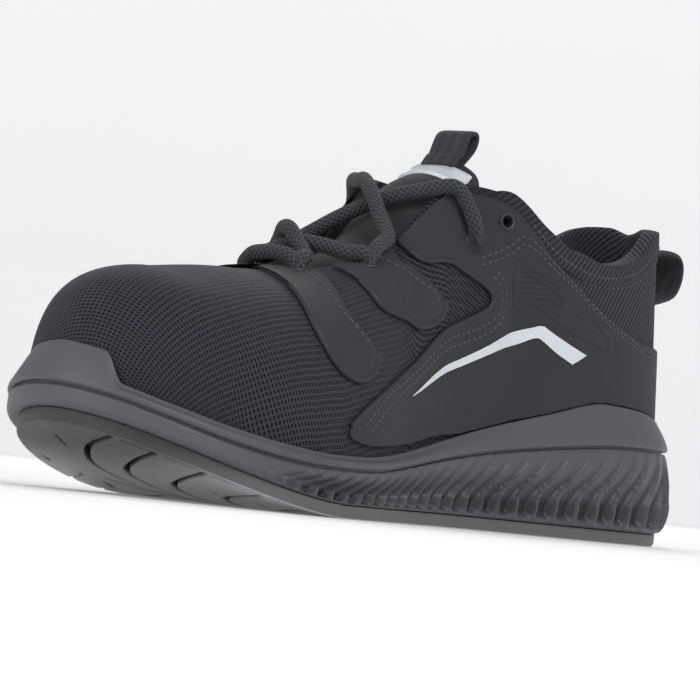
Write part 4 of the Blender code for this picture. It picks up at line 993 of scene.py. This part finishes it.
ROLLED_RIMS = ((0.00015, OVERLAY * 0.72), (0.0006, OVERLAY + ROLLED * 0.6), (0.0012, OVERLAY + ROLLED),
               (0.0022, OVERLAY + ROLLED * 0.3), (0.0032, OVERLAY))
for side in SIDES:
    sheet = cut_pattern(QUARTER, ROLLED_RIMS, 0.0017)
    inside_area = []
    for face in sheet.faces:
        at = face.calc_center_median()
        if beside_polygon(drop_area, np.array([at.x]), np.array([at.y]))[0] > -0.0015:
            inside_area.append(face)
    finer = list({e for face in inside_area for e in face.edges})
    bmesh.ops.subdivide_edges(sheet, edges=finer, cuts=3, use_grid_fill=True)
    punch(stand(
        f"quarter_panel_{side}", lay(sheet, side, LAID, pressed), [nubuck], [f"quarter_{side}"], 50
    ))
    for name, corners in (("finger_front", FINGER_FRONT), ("finger_back", FINGER_BACK)):
        sheet = cut_pattern(corners, ROLLED_RIMS[:3] + ((0.0020, OVERLAY),), 0.0015)
        punch(stand(
            f"{name}_panel_{side}", lay(sheet, side, LAID), [nubuck], [f"{name}_{side}"], 50
        ))

# Stripe: a bent bar of silver reflective film, heat-pressed on each quarter. It is thin and very smooth.
TRIM = 0.0008
STRIPE = outline(
    (7.92, .238), (7.05, .297), (6.18, .396), (5.46, .532), (5.34, .558), (5.24, .571), (5.16, .566),
    (4.82, .542), (4.47, .513), (4.455, .507), (4.69, .448), (4.71, .449), (4.98, .475), (5.22, .503),
    (5.31, .508), (5.41, .492), (5.72, .425), (6.36, .340), (7.20, .262), (7.90, .233),
)
FILM = {"Coat Weight": 0.15, "Coat Roughness": 0.3, "Metallic": 0.25}
silver_film, here = new_finish("reflective_film", FILM)
beads = here.node("TexVoronoi", {}, {"Vector": here, "Scale": 2200})
sheen = here.noise(0.02, 3)
shine = (0.4 * beads + 0.6 * sheen).paint((0.60, 0.63, 0.67), (0.80, 0.83, 0.87))
dress(silver_film, shine, 0.42 + 0.1 * sheen, beads, 0.00005, 0.5)
for side in SIDES:
    sheet = cut_pattern(STRIPE, ((0.00010, TRIM * 0.4), (0.00030, TRIM * 0.55)), 0.002)
    stand(f"stripe_film_{side}", lay(sheet, side, LAID + OVERLAY - 0.0001), [silver_film],
          [f"stripe_{side}"], 40)

# Collar: foam under the same knit, rolled over the top edge and down inside, thick behind the ankle bones
# and thin at the throat. Two dotted seams hold it outside.
COLLAR_RINGS = 6.3
COLLAR_OUT = 0.0030
PADDING = 0.0036
POD = 0.0034  # more padding behind the ankle bones
TOP_ROLL = 0.0026
LUMP = 0.0016  # more height of the roll beside the ankle
Layer = namedtuple("Layer", "rise out over")  # rise, share of the padding inwards, share of the roll above
COLLAR_LINE = [
    Layer(.905, -.16, 0), Layer(.925, -.24, 0), Layer(.96, -.25, 0), Layer(1.0, -.24, .15),
    Layer(1.0, -.10, .75), Layer(1.0, .25, 1.0), Layer(1.0, .62, .85), Layer(1.0, .92, .25),
    Layer(.96, 1.05, 0), Layer(.90, 1.12, 0), Layer(.82, 1.05, 0), Layer(.72, .80, 0),
    Layer(.60, .50, 0), Layer(.48, .34, 0), Layer(.36, .30, 0),
]


def collar_rows(count):
    """Rows of the padded collar from its outer edge over the top to its inner edge and back up behind."""
    rings = np.linspace(-COLLAR_RINGS, COLLAR_RINGS, count)
    ring = rings % (2 * TOE)
    left = COLLAR_RINGS - np.abs(rings)
    tip = 0.08 + 0.92 * np.sin(math.pi / 2 * np.clip(left / 0.35, 0, 1))
    pods, front_lump, back_lump = (
        np.exp(-(((np.abs(rings) - at) / wide) ** 2)) for at, wide in ((3.7, 1.1), (5.05, 0.25), (4.35, 0.28))
    )
    thick = (PADDING + POD * pods) * (0.25 + 0.75 * np.clip(left / 0.8, 0, 1)) * tip
    up = upper(ring, 1.0) - upper(ring, 0.95)
    up /= np.linalg.norm(up, axis=-1, keepdims=True)
    knees = []
    for layer in COLLAR_LINE:
        deep = np.where(layer.out < 0, layer.out * COLLAR_OUT * tip, WALL + layer.out * thick)
        roll = layer.over * (TOP_ROLL + LUMP * (back_lump + 0.7 * front_lump)) * tip
        knees.append(upper(ring, layer.rise, deep) + up * roll[:, None])
    knees = np.array(knees)
    smooth = np.array([smooth_line(knees[:, k], 4) for k in range(count)]).swapaxes(0, 1)
    behind = WALL + .0001
    back = [upper(ring, rise, deep) for rise, deep in (
        (.36, behind), (.70, behind), (.97, behind), (1.0, .0013), (.97, -.0001), (.905, -.0001),
    )]
    return np.concatenate([smooth, np.array(back), smooth[:1]])


points = collar_rows(260)
collar = wrap(points, None, {"wall": shell_maps(points)["wall"]}, None, True)
collar_piece = stand("collar_pad", collar, [collar_knit], (), 60)

# Tongue: a padded flap of microfibre over foam that fills the throat and stands over the collar. Its edges
# are tucked under the two eyestays, and the lace holds it down.
TONGUE_WALL = 0.0055
TONGUE_ARCH = 0.34
TONGUE_RISE = 0.009
TONGUE_LEAN = math.radians(35)
TONGUE_UP = np.array((math.sin(TONGUE_LEAN), 0, math.cos(TONGUE_LEAN)))
TONGUE_OVERLAP = 0.009


def tongue_row(ring, deep, count=7):
    """Points across the tongue: an arch over the throat, tucked under both edges."""
    rows = []
    for value in (ring, 2 * TOE - ring):
        span = np.linalg.norm(upper_base(value, 1.0) - upper_base(value, 0.9)) / 0.1
        rises = 1 - np.array([1.0, 0.55, 0.15]) * TONGUE_OVERLAP / span
        rows.append(upper(np.full(3, value), rises, np.full(3, WALL + 3 * GAP + deep)))
    left, right = rows[0], rows[1][::-1]
    medial, lateral = (upper([value], [1.0], [WALL + 2 * GAP])[0] for value in (ring, 2 * TOE - ring))
    half = np.linalg.norm(medial - lateral) / 2
    middle = []
    for k in range(1, count - 1):
        f = k / (count - 1)
        arch = math.sin(math.pi * f) * half * TONGUE_ARCH
        middle.append(left[2] * (1 - f) + right[0] * f + np.array((-0.45, 0, 0.89)) * arch)
    return np.array([*left, *middle, *right])


def whole_tongue():
    """Sections of the tongue's two faces, with the free end above the throat."""
    values = np.linspace(THROAT - 0.55, COLLAR + 0.25, 8)
    outer, inner = ([tongue_row(value, deep) for value in values] for deep in (0.0, TONGUE_WALL))
    for step, narrow in ((0.45, 0.97), (0.85, 0.86), (1.0, 0.70)):
        for sheets in (outer, inner):
            last = sheets[7]
            mid = last.mean(0)
            sheets.append(mid + (last - mid) * np.array((narrow, narrow, 1)) + TONGUE_UP * TONGUE_RISE * step)
    return np.array(outer), np.array(inner)


tongue_over, tongue_under = whole_tongue()
around = np.concatenate([tongue_over, tongue_under[:, ::-1], tongue_over[:, :1]], axis=1)
tongue_map = np.stack(np.broadcast_arrays(walked(around[5])[None], walked(around[:, 5])[:, None]), -1)
tongue = wrap(around, None, {"wall": tongue_map}, None, True)

tongue_face, here = new_finish("tongue_microfibre", CLOTH | {"Sheen Roughness": 0.45})
nap = here.noise(0.0005)
brushed = here.noise(0.010, 4)
tone = (0.5 * nap + 0.5 * brushed).paint((0.028, 0.026, 0.030), (0.046, 0.043, 0.049))
dress(tongue_face, tone, 0.82 + 0.1 * brushed, nap + 0.5 * here.noise(0.002), 0.00015)
tongue_piece = stand("tongue_pad", tongue, [tongue_face], ["tongue"], 180)
soften = tongue_piece.modifiers.new("soft", "SUBSURF")
soften.levels = soften.render_levels = 3

# Label and pull loops: a bare silver patch pressed into a frame on the tongue, and two loops of herringbone
# webbing, one sewn over the tongue's end and one behind the heel.
LABEL_WIDTH = 0.027
LABEL_LOW = 0.12
LABEL_HIGH = 0.52
LABEL_WALL = 0.0006
LABEL_LIFT = 0.0007
FRAME_HEIGHT = 0.0006
FRAME_SHARE = 0.04
TAB_WIDTH = 0.016
TAB_WALL = 0.0020
TAB_REACH = 0.0105
LOOP_WIDTH = 0.020
LOOP_WALL = 0.0022
LOOP_REACH = 0.0165
LOOP_HEIGHT = 0.021
LOOP_SINK = 0.003
Bend = namedtuple("Bend", "reach up")
LOOP_BENDS = [
    Bend(0.00, -0.45), Bend(0.00, -0.10), Bend(0.02, 0.06), Bend(0.36, 0.16), Bend(0.76, 0.30),
    Bend(0.97, 0.56), Bend(1.00, 0.82), Bend(0.84, 0.98), Bend(0.50, 1.02), Bend(0.20, 0.99),
    Bend(0.03, 0.98), Bend(0.00, 1.10), Bend(0.00, 1.22),
]
PAD_STAND = 0.0008  # of the collar's padding outside the heel
tongue_skin = BVHTree.FromObject(tongue_piece, bpy.context.evaluated_depsgraph_get())


def on_tongue(point, lift):
    """Nearest place on the padded tongue, lifted off its face."""
    spot, facing, *_ = tongue_skin.find_nearest(Vector(point))
    return spot + facing * lift


def tongue_patch(low, high, width, steps, across):
    """Grid of points on the front of the tongue between two shares of its free end, of a given width."""
    sections = tongue_over[-5:]
    shares = np.linspace(0, 1, len(sections))
    reach = np.linspace(-width / 2, width / 2, across)
    grid = []
    for f in np.linspace(low, high, steps):
        lines = sections.swapaxes(0, 1)
        row = np.array([[np.interp(f, shares, line[:, a]) for a in range(3)] for line in lines])
        order = np.argsort(row[:, 1])
        grid.append([[np.interp(y, row[order, 1], row[order, a]) for a in (0, 1, 2)] for y in reach])
    return np.array(grid)


def strap(path, width, wall):
    """Webbing along a path of points: flat, with round selvedges, and a map along and across it."""
    path = smooth_line(path, 6)
    ahead = np.gradient(path, axis=0)
    ahead /= np.linalg.norm(ahead, axis=1, keepdims=True)
    wide = np.array((0.0, 1.0, 0.0))
    out = np.cross(wide, ahead)
    out /= np.linalg.norm(out, axis=1, keepdims=True)
    turns = np.linspace(0, 2 * math.pi, 29)
    flat_x = np.sign(np.cos(turns)) * np.abs(np.cos(turns)) ** 0.30 * width / 2
    flat_y = np.sign(np.sin(turns)) * np.abs(np.sin(turns)) ** 0.55 * wall / 2
    points = path[:, None] + wide * flat_x[None, :, None] + out[:, None] * flat_y[None, :, None]
    weave_map = np.stack(np.broadcast_arrays(walked(path)[:, None], flat_x[None]), -1)
    return wrap(points, None, {"weave": weave_map}, None, True)


webbing, here = new_finish("herringbone_webbing", CLOTH)
u, v, w = here.node("UVMap", {"uv_map": "weave"}, {}).parts()
zigzag = (u + v.maths("PINGPONG", 0.0025)).wave(0.0011)
fuzz = here.noise(0.0004)
twill = zigzag * 0.8 + fuzz * 0.3
yarn = twill.paint((0.014, 0.013, 0.017), (0.060, 0.058, 0.070))
dress(webbing, yarn, 0.82 + 0.1 * fuzz, twill, 0.00035)

rises = np.linspace(0.5, 1, 60)
heel_wall = upper_base(np.zeros(60), rises)
bottom = heel_wall[-1, 2] - LOOP_SINK - LOOP_HEIGHT
heel_path = []
for bend in LOOP_BENDS:
    height = bottom + LOOP_HEIGHT * bend.up
    back = np.interp(height, heel_wall[:, 2], heel_wall[:, 0]) + PAD_STAND + LOOP_WALL / 2 - 0.0003
    heel_path.append((back + bend.reach * LOOP_REACH, MIDDLE, height))
pull = strap(heel_path, LOOP_WIDTH, LOOP_WALL)
beside = upper_base(np.array([0.0, 0.5]), 0.85)
curve = (beside[1, 1] - beside[0, 1]) ** 2 / (2 * (beside[0, 0] - beside[1, 0]))  # radius of the heel
for corner in pull.verts:
    back = np.interp(corner.co.z, heel_wall[:, 2], heel_wall[:, 0])
    held = 1 - min(max((corner.co.x - back - 0.002) / (0.5 * LOOP_REACH), 0), 1)
    corner.co.x -= held * (corner.co.y - MIDDLE) ** 2 / (2 * curve)
stand("heel_pull", pull, [webbing], ["heel_loop"], 60)

front = tongue_patch(LABEL_HIGH - 0.06, 0.86, TAB_WIDTH, 4, 5)[:, 2]
front = np.array([on_tongue(point, TAB_WALL / 2 - 0.0002) for point in front])
behind = tongue_under[-1][len(tongue_under[-1]) // 2] + np.array((TAB_WALL, 0, 0))
lean = np.array((math.cos(TONGUE_LEAN), 0, -math.sin(TONGUE_LEAN)))
crown = (front[-1] + behind) / 2
half = np.linalg.norm(behind - front[-1]) / 2 + 3 * GAP
path = list(front)
for angle in (30, 65, 100, 135, 165):
    turn = math.radians(angle)
    path.append(crown - lean * half * 0.8 * math.cos(turn) + TONGUE_UP * TAB_REACH * math.sin(turn) ** 0.6)
path.append(np.array(on_tongue(behind - TONGUE_UP * 0.004, TAB_WALL / 2)))
stand("tongue_pull", strap(path, TAB_WIDTH, TAB_WALL), [webbing], ["tongue_loop"], 60)

patch = tongue_patch(LABEL_LOW, LABEL_HIGH, LABEL_WIDTH, 3, 9)
label = bmesh.new()
bmesh.ops.create_grid(label, x_segments=40, y_segments=24, size=0.5)
for corner in label.verts:
    s, t = (corner.co.y + 0.5) * (patch.shape[0] - 1), (corner.co.x + 0.5) * (patch.shape[1] - 1)
    i, j = min(int(s), patch.shape[0] - 2), min(int(t), patch.shape[1] - 2)
    f, g = s - i, t - j
    at = (patch[i, j] * (1 - g) + patch[i, j + 1] * g) * (1 - f)
    at = at + (patch[i + 1, j] * (1 - g) + patch[i + 1, j + 1] * g) * f
    rim = min(0.5 - abs(corner.co.x), (0.5 - abs(corner.co.y)) * 0.5)
    frame_rise = math.sin(math.pi * min(max(rim, 0) / FRAME_SHARE, 1))
    corner.co = on_tongue(at, LABEL_LIFT + FRAME_HEIGHT * frame_rise)
bmesh.ops.solidify(label, geom=label.verts[:] + label.edges[:] + label.faces[:], thickness=LABEL_WALL)
bmesh.ops.recalc_face_normals(label, faces=label.faces)
stand("tongue_patch", label, [silver_film], ["tongue_label"], 40)

# Eyelets: black moulded grommets, pressed through the eyestay, with a rolled lip outside and a thin flange.
eyelet_black, here = new_finish("grommet_black", {"Coat Weight": 0.1})
specks = here.noise(0.0007)
black = specks.paint((0.014, 0.014, 0.016), (0.030, 0.029, 0.033))
dress(eyelet_black, black, 0.42 + 0.2 * specks, specks, 0.00004)
BORE = EYELET_BORE / 2
RIM = EYELET / 2
FRONT = OVERLAY + LAID
BACK = -WALL - 0.0004
Lip = namedtuple("Lip", "radius height")
GROMMET = [
    Lip(BORE, BACK), Lip(BORE, FRONT), Lip(BORE + 0.0003, FRONT + 0.0005), Lip(BORE + 0.0008, FRONT + 0.0008),
    Lip(RIM - 0.0004, FRONT + 0.0006), Lip(RIM, FRONT + 0.0001), Lip(RIM - 0.0007, FRONT - 0.0002),
    Lip(RIM - 0.0008, BACK),
]


def spun(line, steps, closed=False):
    """A shape turned about the upright axis from a line of points."""
    shape = bmesh.new()
    corners = [shape.verts.new(point) for point in line]
    onward = corners[1:] + (corners[:1] if closed else [])
    edges = [shape.edges.new(pair) for pair in zip(corners, onward)]
    bmesh.ops.spin(
        shape, geom=corners + edges, cent=(0, 0, 0), axis=(0, 0, 1), angle=2 * math.pi, steps=steps,
        use_merge=True,
    )
    bmesh.ops.remove_doubles(shape, verts=shape.verts, dist=1e-5)
    bmesh.ops.recalc_face_normals(shape, faces=shape.faces)
    return shape


for name, centre, outward in eyelet_frames():
    grommet = spun(smooth_line([(lip.radius, 0, lip.height) for lip in GROMMET], 2, True), 28, True)
    bmesh.ops.transform(grommet, matrix=pointed(centre, outward), verts=grommet.verts)
    stand(name.replace("eyelet", "grommet"), grommet, [eyelet_black], [name], 50)

# Lace: a round braided cord, 5.4 mm thick. It bars the first pair of eyelets and crosses to the second and
# the third over the tongue. Both ends turn down through the third pair and stop just inside the upper.
CORD = 0.0054
LACE_BOW = 0.0036
BAR_BOW = 0.0022
LACE_EDGE = 0.97
LACE_TURN = 0.25
LACE_END = 0.0050  # below the upper's outer face
LACE_UP = Vector((-0.35, 0, 1)).normalized()
OVER_LIFT = OVERLAY + LAID + CORD / 2 + 0.0004


def over_wall(side, ring, rise, lift=OVER_LIFT):
    """Middle of a lace that lies over the eyelets at a place on one side of the upper."""
    return Vector(upper([on_side(ring, side)], [rise], [-lift])[0])


def through(side, hole):
    """Points of a lace that turns down into an eyelet, from outside to inside."""
    return [over_wall(side, hole.ring, hole.rise, lift) for lift in (OVER_LIFT * 0.55, 0.0, -LACE_END)]


def lace_run(side):
    """Middle of one cord: up the wall from an eyelet, across the throat and down to the next eyelet."""
    laced = EYELETS[:-1]
    runs = []
    first = side
    for start, end in zip(laced, laced[1:]):
        other = "lateral" if side == "medial" else "medial"
        gain = (end.ring - start.ring) * LACE_TURN
        near, far = [], []
        for f in (0.35, 0.6, 1):
            near.append(over_wall(side, start.ring + gain * f, start.rise + (LACE_EDGE - start.rise) * f))
        for f in (0, 0.4, 0.75):
            far.append(over_wall(other, end.ring - gain * (1 - f), LACE_EDGE + (end.rise - LACE_EDGE) * f))
        middle = []
        for k in range(1, 5):
            rise = math.sin(math.pi * k / 5)
            over = CORD if side == first == "medial" or side != first == "lateral" else 0
            middle.append(near[-1].lerp(far[0], k / 5) + LACE_UP * (LACE_BOW * rise + over * rise**2))
        runs.append(through(side, start)[::-1] + near + middle + far + through(other, end))
        side = other
    return runs


def cord_tube(path, radius, sides=20, steps=7):
    """A round cord along a path, with closed ends and a map along and round it."""
    path = smooth_line(path, steps)
    frames = []
    up = Vector((0, 0, 1))
    for k in range(len(path)):
        ahead = Vector(path[min(k + 1, len(path) - 1)] - path[max(k - 1, 0)]).normalized()
        up = (up - ahead * up.dot(ahead)).normalized()
        frames.append((up.copy(), ahead.cross(up)))
    turns = np.linspace(0, 2 * math.pi, sides + 1)
    points = np.array([
        [point + radius * (math.cos(a) * np.array(first) + math.sin(a) * np.array(second)) for a in turns]
        for point, (first, second) in zip(path, frames)
    ])
    braid_map = np.stack(np.broadcast_arrays(walked(path)[:, None], turns[None] * radius), -1)
    return wrap(points, None, {"braid": braid_map}, None, True)


def join(whole, part):
    """Adds a finished bmesh to another."""
    mesh = bpy.data.meshes.new("part")
    part.to_mesh(mesh)
    part.free()
    whole.from_mesh(mesh)
    bpy.data.meshes.remove(mesh)


braid, here = new_finish("braided_cord", CLOTH)
u, v, w = here.node("UVMap", {"uv_map": "braid"}, {}).parts()
strand = 2 * math.pi * CORD / 2 / 8
left = (u + v).wave(strand)
right = (u - v).wave(strand)
fuzz = here.noise(0.0004)
plait = left.maths("MAXIMUM", right) * 0.8 + left * right * 0.4 + fuzz * 0.2
yarn = plait.paint((0.010, 0.010, 0.012), (0.062, 0.060, 0.068))
dress(braid, yarn, 0.80 + 0.1 * fuzz, plait, 0.0004)

lace = bmesh.new()
bar_ends = [over_wall(side, EYELETS[0].ring, EYELETS[0].rise) for side in SIDES]
bar = through("medial", EYELETS[0])[::-1]
for k in range(1, 6):
    bar.append(bar_ends[0].lerp(bar_ends[1], k / 6) + LACE_UP * BAR_BOW * math.sin(math.pi * k / 6))
bar += through("lateral", EYELETS[0])
for path in [bar] + lace_run("medial") + lace_run("lateral"):
    join(lace, cord_tube(path, CORD / 2))
stand("lace_cord", lace, [braid], ["lace"], 60)

# Rims: a dark welded bead along the lower edge of each finger and round the side window, where the panels
# are rolled over and bonded down to the mesh. It is a little thicker on the fingers.
Rim = namedtuple("Rim", "radius knees")
RIMS = [
    Rim(0.0012, [
        (10.24, .70), (10.28, .50), (10.12, .382), (9.86, .316), (9.56, .294), (9.30, .300),
        (9.05, .334), (8.94, .374), (8.99, .402),
    ]),
    Rim(0.0012, [
        (8.86, .75), (8.70, .605), (8.45, .555), (8.09, .509), (7.84, .461), (7.56, .436), (7.34, .445),
        (7.21, .476), (7.28, .505),
    ]),
    Rim(0.0010, [
        (7.90, .93), (7.78, .79), (7.60, .70), (7.32, .655), (7.02, .630), (6.70, .615), (6.38, .600),
        (6.20, .575), (6.24, .525), (6.60, .465), (7.18, .395), (7.80, .34), (8.40, .29), (9.20, .21),
        (9.70, .14),
    ]),
]
bead, here = new_finish("welded_bead", {"Coat Weight": 0.1})
nap = here.noise(0.0008)
dress(bead, nap.paint((0.012, 0.012, 0.016), (0.026, 0.025, 0.031)), 0.55 + 0.2 * nap, nap, 0.00006)
for side in SIDES:
    beads = bmesh.new()
    for rim in RIMS:
        ring, rise = smooth_line(rim.knees, 4).T
        join(beads, cord_tube(upper(on_side(ring, side), rise, -(LAID + 0.0006)), rim.radius, 10, 1))
    stand(f"rolled_rims_{side}", beads, [bead], (), 60)

# Stitches: bonded thread, lighter than the panels it holds, laid in rows along the edges.
THREAD = 0.0007
STITCH = 0.0023
STITCH_PITCH = STITCH * 1.28
Row = namedtuple("Row", "knees lift")
PANEL = LAID + OVERLAY + 0.00005
EDGE_ROWS = [
    Row([
        (9.35, .145), (8.8, .235), (8.2, .285), (7.5, .335), (6.95, .385), (6.4, .445), (6.06, .51),
        (6.0, .575), (6.1, .625), (6.3, .648),
    ], PANEL),
    Row([
        (9.2, .125), (8.7, .205), (8.1, .262), (7.4, .315), (6.85, .365), (6.3, .425), (5.96, .50),
        (5.9, .575), (5.98, .64), (6.2, .672),
    ], PANEL),
    Row([
        (6.52, .665), (6.2, .715), (5.93, .775), (5.74, .845), (5.5, .868), (5.26, .868), (4.92, .855),
        (4.62, .822), (4.3, .768), (3.9, .695), (3.4, .615), (2.6, .51), (2.2, .48),
    ], PANEL),
    Row([
        (6.54, .692), (6.24, .742), (5.97, .802), (5.76, .875), (5.5, .898), (5.22, .893), (4.92, .88),
        (4.62, .847), (4.3, .79), (3.9, .717), (3.4, .637), (2.6, .533), (2.2, .503),
    ], PANEL),
    Row([
        (9.56, .93), (9.60, .65), (9.56, .56), (9.42, .50), (9.26, .455), (9.12, .415),
    ], PANEL),
    Row([
        (8.30, .90), (8.16, .81), (8.00, .745), (7.82, .655), (7.62, .585), (7.46, .53), (7.36, .49),
    ], PANEL),
    Row([
        (5.6, .965), (4.8, .955), (4.0, .955), (3.0, .955), (2.0, .955), (1.0, .955), (0.1, .955),
    ], 0.0008),
    Row([
        (4.4, .90), (4.0, .90), (3.0, .90), (2.0, .90), (1.0, .90), (0.1, .90),
    ], 0.0001),
]
thread, here = new_finish("bonded_thread", CLOTH)
twist = here.noise(0.0006)
dress(thread, twist.paint((0.070, 0.066, 0.074), (0.135, 0.130, 0.140)), 0.6 + 0.2 * twist, twist, 0.0001)
for side in SIDES:
    sewn = bmesh.new()
    for row in EDGE_ROWS:
        ring, rise = smooth_line(row.knees, 12).T
        points, under = (upper(on_side(ring, side), rise, deep) for deep in (-row.lift, -row.lift + 0.001))
        walk = walked(points)
        for at in np.arange(STITCH / 2, walk[-1], STITCH_PITCH):
            spot, before, after, below = (
                Vector([np.interp(d, walk, pts[:, a]) for a in range(3)])
                for d, pts in ((at, points), (at - 0.001, points), (at + 0.001, points), (at, under))
            )
            ahead = (after - before).normalized()
            wide = (spot - below).normalized().cross(ahead).normalized()
            turn = Matrix((ahead, wide, ahead.cross(wide))).transposed().to_4x4()
            size = Matrix.Diagonal((STITCH / 2, THREAD / 2, THREAD / 2, 1))
            bmesh.ops.create_icosphere(
                sewn, subdivisions=1, radius=1, matrix=Matrix.Translation(spot) @ turn @ size
            )
    stand(f"stitching_{side}", sewn, [thread], (), 180)

# Studio: a pale seamless dish of floor, three soft panels of light and a bright even room.
floor_paint, here = new_finish("pale_floor", {"Emission Strength": 1})
cloud = here.noise(0.5, 3)
dress(floor_paint, cloud.paint((0.80, 0.80, 0.80), (0.83, 0.83, 0.83)), 0.75 + 0.1 * cloud)
far = here.node("VectorMath", {"operation": "LENGTH"}, {0: here}, "Value").between(0.3, 3.5)
glow = far.paint((0.12, 0.12, 0.12), (0.42, 0.42, 0.42))
shader = floor_paint.node_tree.nodes["Principled BSDF"]
floor_paint.node_tree.links.new(glow.socket, shader.inputs["Emission Color"])
profile = [(0, 0, 0), (0.4, 0, 0), (1.5, 0, 0), (4, 0, 0), (5, 0, 0.06), (5.8, 0, 0.3), (6.2, 0, 0.9)]
floor = as_object("studio_floor", spun(profile, 64), [floor_paint])
floor.data.shade_smooth()

world = bpy.data.worlds.new("room")
world.use_nodes = True
world.node_tree.nodes["Background"].inputs["Color"].default_value = (0.95, 0.96, 1.0, 1)
world.node_tree.nodes["Background"].inputs["Strength"].default_value = 0.50
bpy.context.scene.world = world
bpy.context.scene.view_settings.view_transform = "Standard"

Panel = namedtuple("Panel", "name at size power")
PANELS = [
    Panel("key_panel", (-0.4, -1.5, 1.3), 1.0, 15), Panel("fill_panel", (-1.7, 0.3, 0.7), 1.0, 8),
    Panel("rim_panel", (1.3, 1.0, 1.3), 0.9, 14),
]
for panel in PANELS:
    data = bpy.data.lights.new(panel.name, "AREA")
    data.shape = "DISK"
    data.size = panel.size
    data.energy = panel.power
    lamp = bpy.data.objects.new(panel.name, data)
    lamp.location = panel.at
    aim = Vector((0, 0, 0.05)) - Vector(panel.at)
    lamp.rotation_euler = aim.to_track_quat("-Z", "Y").to_euler()
    bpy.context.scene.collection.objects.link(lamp)

# Camera: the photo's turn, roll and distance, with a lens that frames the shoe as the photo does. The photo
# looks up from under the sole, so on a floor the camera keeps that turn and comes down until it stops just
# above the floor.
AZIMUTH = math.radians(-48.21)
ROLL = math.radians(6.06)
DISTANCE = 1.554
FOCAL = 229.0
CAMERA_HEIGHT = 0.015
AIM = Vector((-0.0085, 0.0065, 0.058))
elevation = math.asin((CAMERA_HEIGHT - AIM.z) / DISTANCE)
back = Vector((
    math.sin(AZIMUTH) * math.cos(elevation), -math.cos(AZIMUTH) * math.cos(elevation), math.sin(elevation)
))
level = Vector((math.cos(AZIMUTH), math.sin(AZIMUTH), 0))
rightward = math.cos(ROLL) * level + math.sin(ROLL) * back.cross(level)
upward = back.cross(rightward)
view = bpy.data.cameras.new("camera")
view.sensor_width = 36
view.lens = FOCAL
view.clip_end = 30
eye = bpy.data.objects.new("camera", view)
turned = Matrix((rightward, upward, back)).transposed().to_4x4()
turned.translation = AIM + back * DISTANCE
eye.matrix_world = turned
bpy.context.scene.collection.objects.link(eye)
bpy.context.scene.camera = eye
